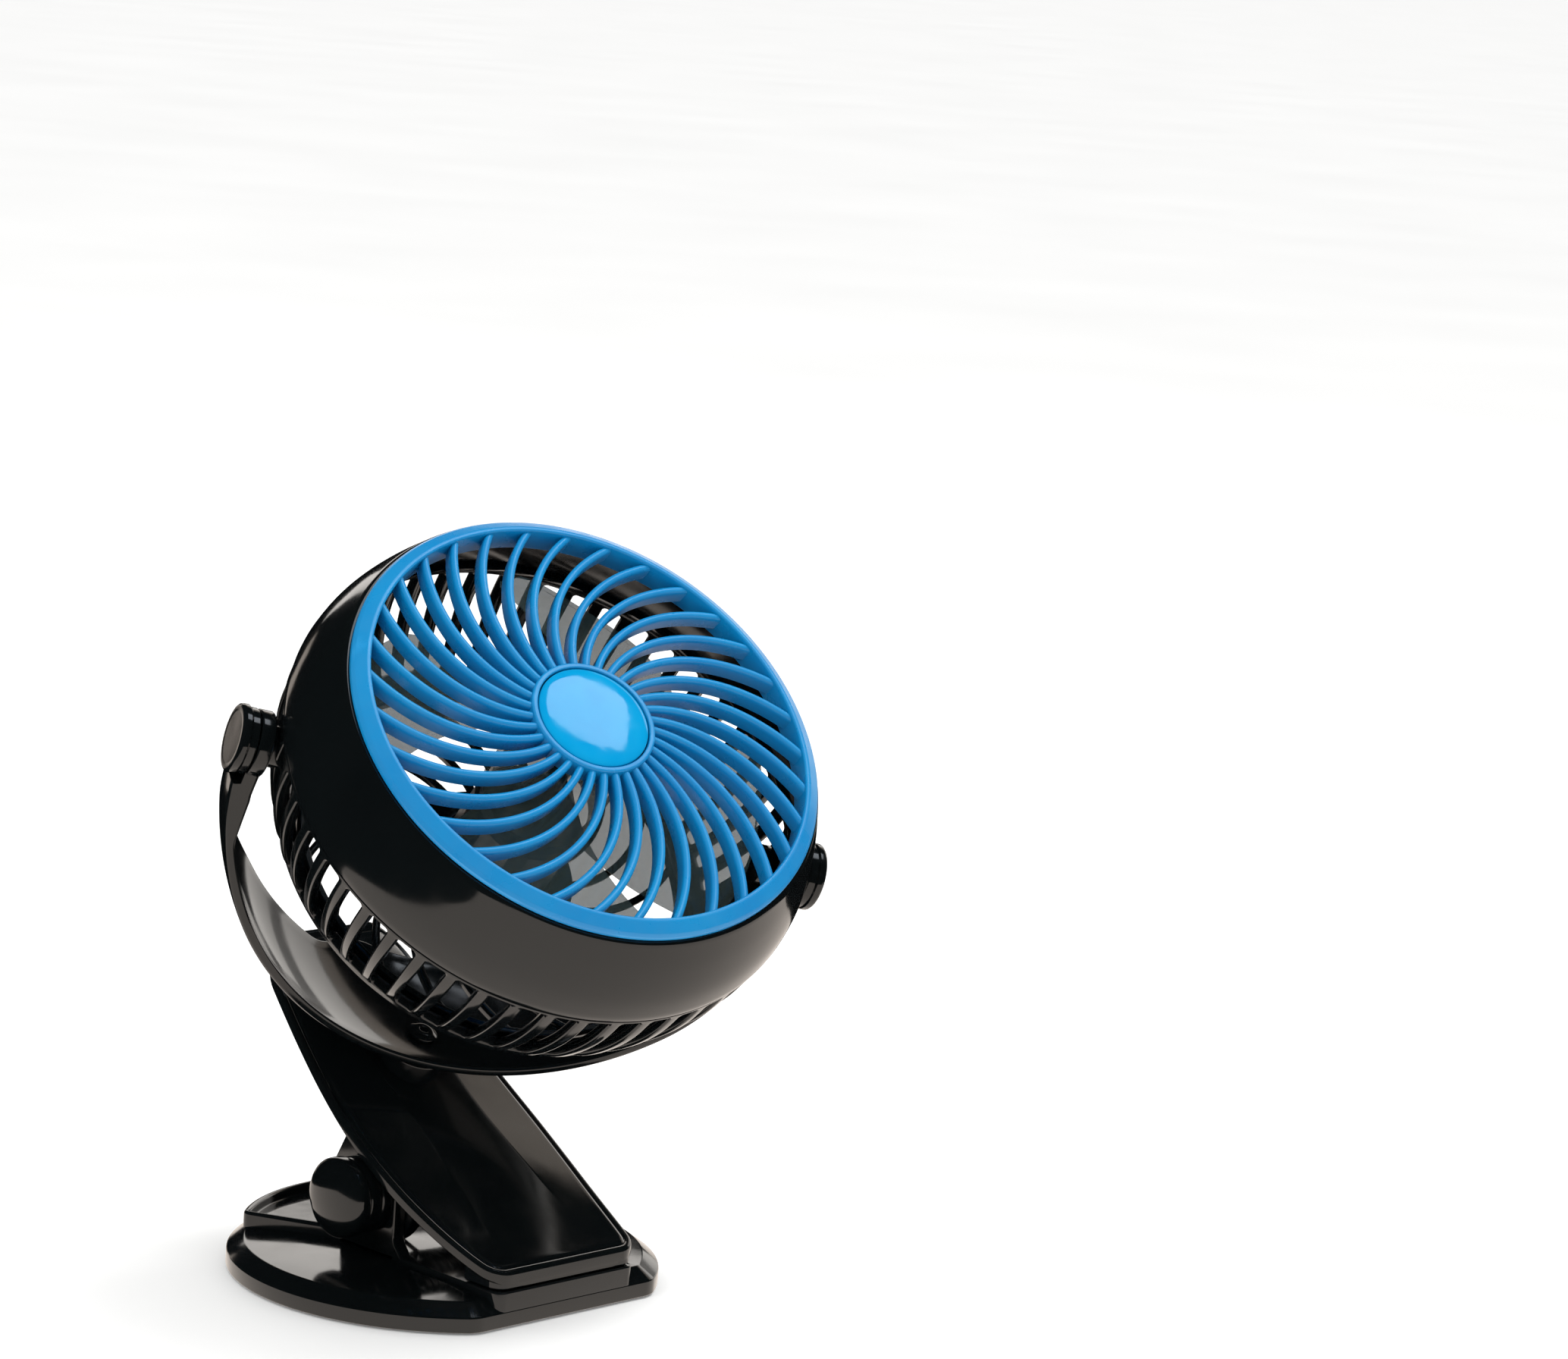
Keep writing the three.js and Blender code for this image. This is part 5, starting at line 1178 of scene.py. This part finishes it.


# cup with a raised rounded lip for the power socket where its wall faces the head's lower side
def makeMotorCover():
    c = cover
    form = Form()
    rear = c["front"] - c["depth"]
    rim = c["radius"]
    wall = c["wall"]
    cup = rounded([(0, rear), (rim - 5, rear, 3), (rim - 0.6, rear + 2.4, 4), (rim, c["front"], 0.4),
                   (rim - wall, c["front"], 0.3), (rim - 2.2, rear + 4.4, 1), (rim - 5, rear + wall, 2),
                   (0, rear + wall)], 7, False)
    addTurned(form, cup, 120, False)
    # raised lip round the socket's window and a scale of ticks round the dial
    w, h = c["socketWidth"] / 2 + c["lipWidth"], c["socketHeight"] / 2 + c["lipWidth"]
    low, high = c["socketZ"] - h, c["socketZ"] + h
    lip = rounded([(-w, low, 1.6), (w, low, 1.6), (w, high, 1.6), (-w, high, 1.6)], 5)
    inner = drawnIn(lip, 0.8)
    rings = [(lip, 1.2), (lip, -0.05), (drawnIn(lip, 0.25), -0.25), (drawnIn(lip, 0.55), -0.25), (inner, 0.0),
             (inner, 1.2)]
    rows = []
    for line, lift in rings:
        rows.append([(x, -math.sqrt(max(0, rim ** 2 - x * x)) + lift, z) for x, z in line])
    form.addRows(rows, loop=True, ring=True)
    half = 0.35
    for i in range(c["ticks"]):
        angle = math.radians(c["firstTick"] + c["tickStep"] * i)
        out = Vector((math.cos(angle), math.sin(angle), 0))
        across = Vector((-out.y, out.x, 0))
        corners = ((c["tickIn"], -half), (c["tickOut"], -half), (c["tickOut"], half), (c["tickIn"], half))
        foot = [out * a + across * b for a, b in corners]
        sunk = [p + Vector((0, 0, rear + 0.2)) for p in foot]
        raised = [p * 0.999 + Vector((0, 0, rear - 0.18)) for p in foot]
        form.addRows([sunk, raised], ring=True, caps=True)
    makePiece("motorCover", form, "head", duskBlack, ["motor_cover"], headPlace)


def makeDial():
    d = dial
    face = cover["front"] - cover["depth"] - slip
    back = face - d["height"]
    wide, stem = d["radius"], d["stem"]
    form = Form()
    rows = []
    for k in range(d["segments"]):
        angle = 2 * math.pi * k / d["segments"]
        # shallow flutes round the grip
        flute = d["fluteDepth"] * max(0, math.cos(d["flutes"] * angle)) ** 3
        line = rounded([(0, face), (wide, face, 0.3), (wide, face - 1, 0.2),
                        (wide - 0.4 - flute, face - 1.4, 0.3), (wide - 0.9 - flute, back, 0.7), (0, back)],
                       4, False)
        rows.append([(r * math.cos(angle), r * math.sin(angle), z) for r, z in line])
    form.addRows(rows, loop=True)
    pointer = rounded([(-0.5, 2.6, 0.45), (0.5, 2.6, 0.45), (0.5, 6.4, 0.45), (-0.5, 6.4, 0.45)], 4)
    addBlock(form, pointer, back - 0.12, back + 0.5, 0.1)
    top = face + d["stemLength"]
    addTurned(form, [(0, top), (stem, top), (stem, face - 0.5), (0, face - 0.5)], 32, False)
    makePiece("speedDial", form, "dial", duskBlack, ["speed_dial"], headPlace)


makeMotorCover()
makeDial()

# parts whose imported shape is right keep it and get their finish, with a small rounding on their edges
kept = {
    "base_pad": (rubber, 0.3), "base_plate": (duskBlack, 0.25), "hinge_pin": (steel, 0.3),
    "swivel_washer": (steel, 0.15), "swivel_nut": (steel, 0.2), "tilt_stud_left": (steel, 0.2),
    "tilt_stud_right": (steel, 0.2), "thread_insert_left": (brass, 0.12),
    "thread_insert_right": (brass, 0.12), "motor": (steel, 0.4), "circuit_board": (board, 0.1),
    "usb_socket": (steel, 0.1), "motor_shaft": (steel, 0.15),
}
for group, count in (("base_screw_", 4), ("motor_screw_", 3)):
    for number in range(1, count + 1):
        kept[group + str(number)] = (steel, 0.12)
for name, (material, rounding) in kept.items():
    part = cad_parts[name]
    for slot in part.material_slots:
        slot.material = material
    edge = part.modifiers.new("edge", "BEVEL")
    edge.width = rounding * 0.001
    edge.segments = 2
    edge.limit_method = "ANGLE"
    edge.angle_limit = math.radians(50)
print("kept parts finished")


# floor, light and camera
studio = {"floor": "#f6f6f5", "floorPale": "#fcfcfb", "floorSize": 60.0, "markSize": 300,
          "roughness": (0.7, 0.85), "lift": 0.12, "world": 1.0, "worldSeen": "#ffffff",
          "worldMirrored": "#0b0d0e"}
fanMiddle = (0, -0.02, 0.1)
# place and size in metres, radiance, the point it faces and its colour
lamps = {
    "overhead": ((0.56, -0.3, 1.4), (0.7, 0.9), 6.0, fanMiddle, "#ffffff"),
    "left": ((-1.6, -0.2, 1.1), (0.5, 0.9), 4.0, fanMiddle, "#ffffff"),
}
cards = {
    "overheadCard": ((0.54, -0.29, 1.34), (0.5, 0.62), 3.0, fanMiddle, "#eef6ff"),
    "floorCard": ((0.04, -0.16, 0.0006), (0.62, 0.62), 1.15, (0.04, -0.16, 1), "#fff3e8"),
    "backCard": ((1.34, 0.87, 0.72), (2.6, 0.5), 2.0, (0, 0, 0.72), "#fffaf4"),
    "highCard": ((1.34, 0.87, 1.14), (2.6, 0.3), 0.8, (0, 0, 1.14), "#fff1e2"),
    "lowRightCard": ((1.66, 0.36, 0.155), (1.2, 0.29), 1.25, (0, 0, 0.155), "#fffaf4"),
    "rightCard": ((1.66, 0.36, 0.385), (1.2, 0.17), 0.45, (0, 0, 0.385), "#fffaf4"),
    "sideCard": ((0.28, 1.6, 0.16), (0.2, 0.6), 1.0, (0, 0, 0.16), "#fff1e4"),
}
# lens and sensor in millimetres, place in metres, and the camera's own axes
view = {
    "lens": 109.88, "sensor": 36, "near": 0.05, "far": 60, "place": (-0.8502, -0.9302, 0.3764),
    "right": (0.69935, -0.71148, 0.06855), "up": (0.06889, 0.16255, 0.98429),
    "back": (-0.71145, -0.68365, 0.16269),
}


# painted board: pale and matt, with faint roller marks; it is lit over white, so it hides its own edge
def makeFloor():
    material, tree, where, shader = startMaterial("painted board, matt white")
    cloud = addNode(tree, "ShaderNodeTexNoise", {"Scale": perMetre(studio["markSize"]), "Detail": 2.0},
                    {"Vector": where})
    tint = addNode(tree, "ShaderNodeMix",
                   {"data_type": "RGBA", 6: colourOf(studio["floor"]), 7: colourOf(studio["floorPale"])},
                   {0: cloud.outputs[0]})
    low, high = studio["roughness"]
    rough = addNode(tree, "ShaderNodeMapRange", {"To Min": low, "To Max": high}, {"Value": cloud.outputs[0]})
    finishShader(tree, shader, {"Base Color": tint.outputs[2], "Roughness": rough.outputs[0]},
                 {"Emission Color": (1, 1, 1, 1), "Emission Strength": studio["lift"]})
    half = studio["floorSize"] / 2
    mesh = bpy.data.meshes.new("floor")
    mesh.from_pydata([(-half, -half, 0), (half, -half, 0), (half, half, 0), (-half, half, 0)], [],
                     [(0, 1, 2, 3)])
    mesh.materials.append(material)
    floor = bpy.data.objects.new("floor", mesh)
    # the gloss shows the dark studio and the lit cards below instead
    floor.visible_glossy = False
    bpy.context.scene.collection.objects.link(floor)


# rectangular panel: a lamp lights what it faces and isn't mirrored, and a card is only seen in reflections
def addPanel(name, isCard, place, size, radiance, aim, colour):
    light = bpy.data.lights.new(name, "AREA")
    light.shape = "RECTANGLE"
    light.size, light.size_y = size
    light.energy = radiance * math.pi * size[0] * size[1]
    light.color = colourOf(colour)[:3]
    holder = bpy.data.objects.new(name, light)
    holder.location = place
    holder.rotation_euler = (Vector(aim) - Vector(place)).to_track_quat("-Z", "Y").to_euler()
    holder.visible_camera = False
    holder.visible_diffuse = not isCard
    holder.visible_transmission = not isCard
    holder.visible_glossy = isCard
    bpy.context.scene.collection.objects.link(holder)


# soft studio: two lamps light the fan, and cards give the gloss something to mirror
def makeLights():
    for panels, isCard in ((lamps, False), (cards, True)):
        for name, values in panels.items():
            addPanel(name, isCard, *values)


def makeWorld():
    world = bpy.data.worlds.new("studio")
    world.use_nodes = True
    tree = world.node_tree
    tree.nodes.clear()
    ray = addNode(tree, "ShaderNodeLightPath")
    mix = addNode(tree, "ShaderNodeMix",
                  {"data_type": "RGBA", 6: colourOf(studio["worldSeen"]),
                   7: colourOf(studio["worldMirrored"])},
                  {0: ray.outputs["Is Glossy Ray"]})
    shade = addNode(tree, "ShaderNodeBackground", {"Strength": studio["world"]}, {"Color": mix.outputs[2]})
    addNode(tree, "ShaderNodeOutputWorld", links={"Surface": shade.outputs[0]})
    bpy.context.scene.world = world


def makeCamera():
    lens = bpy.data.cameras.new("camera")
    lens.sensor_fit = "HORIZONTAL"
    lens.sensor_width = view["sensor"]
    lens.lens = view["lens"]
    lens.clip_start = view["near"]
    lens.clip_end = view["far"]
    camera = bpy.data.objects.new("camera", lens)
    turn = Matrix([view[axis] for axis in ("right", "up", "back")]).transposed()
    camera.matrix_world = Matrix.Translation(view["place"]) @ turn.to_4x4()
    bpy.context.scene.collection.objects.link(camera)
    bpy.context.scene.camera = camera


makeFloor()
makeWorld()
makeLights()
makeCamera()
bpy.context.scene.view_settings.view_transform = "Standard"
print("studio made")
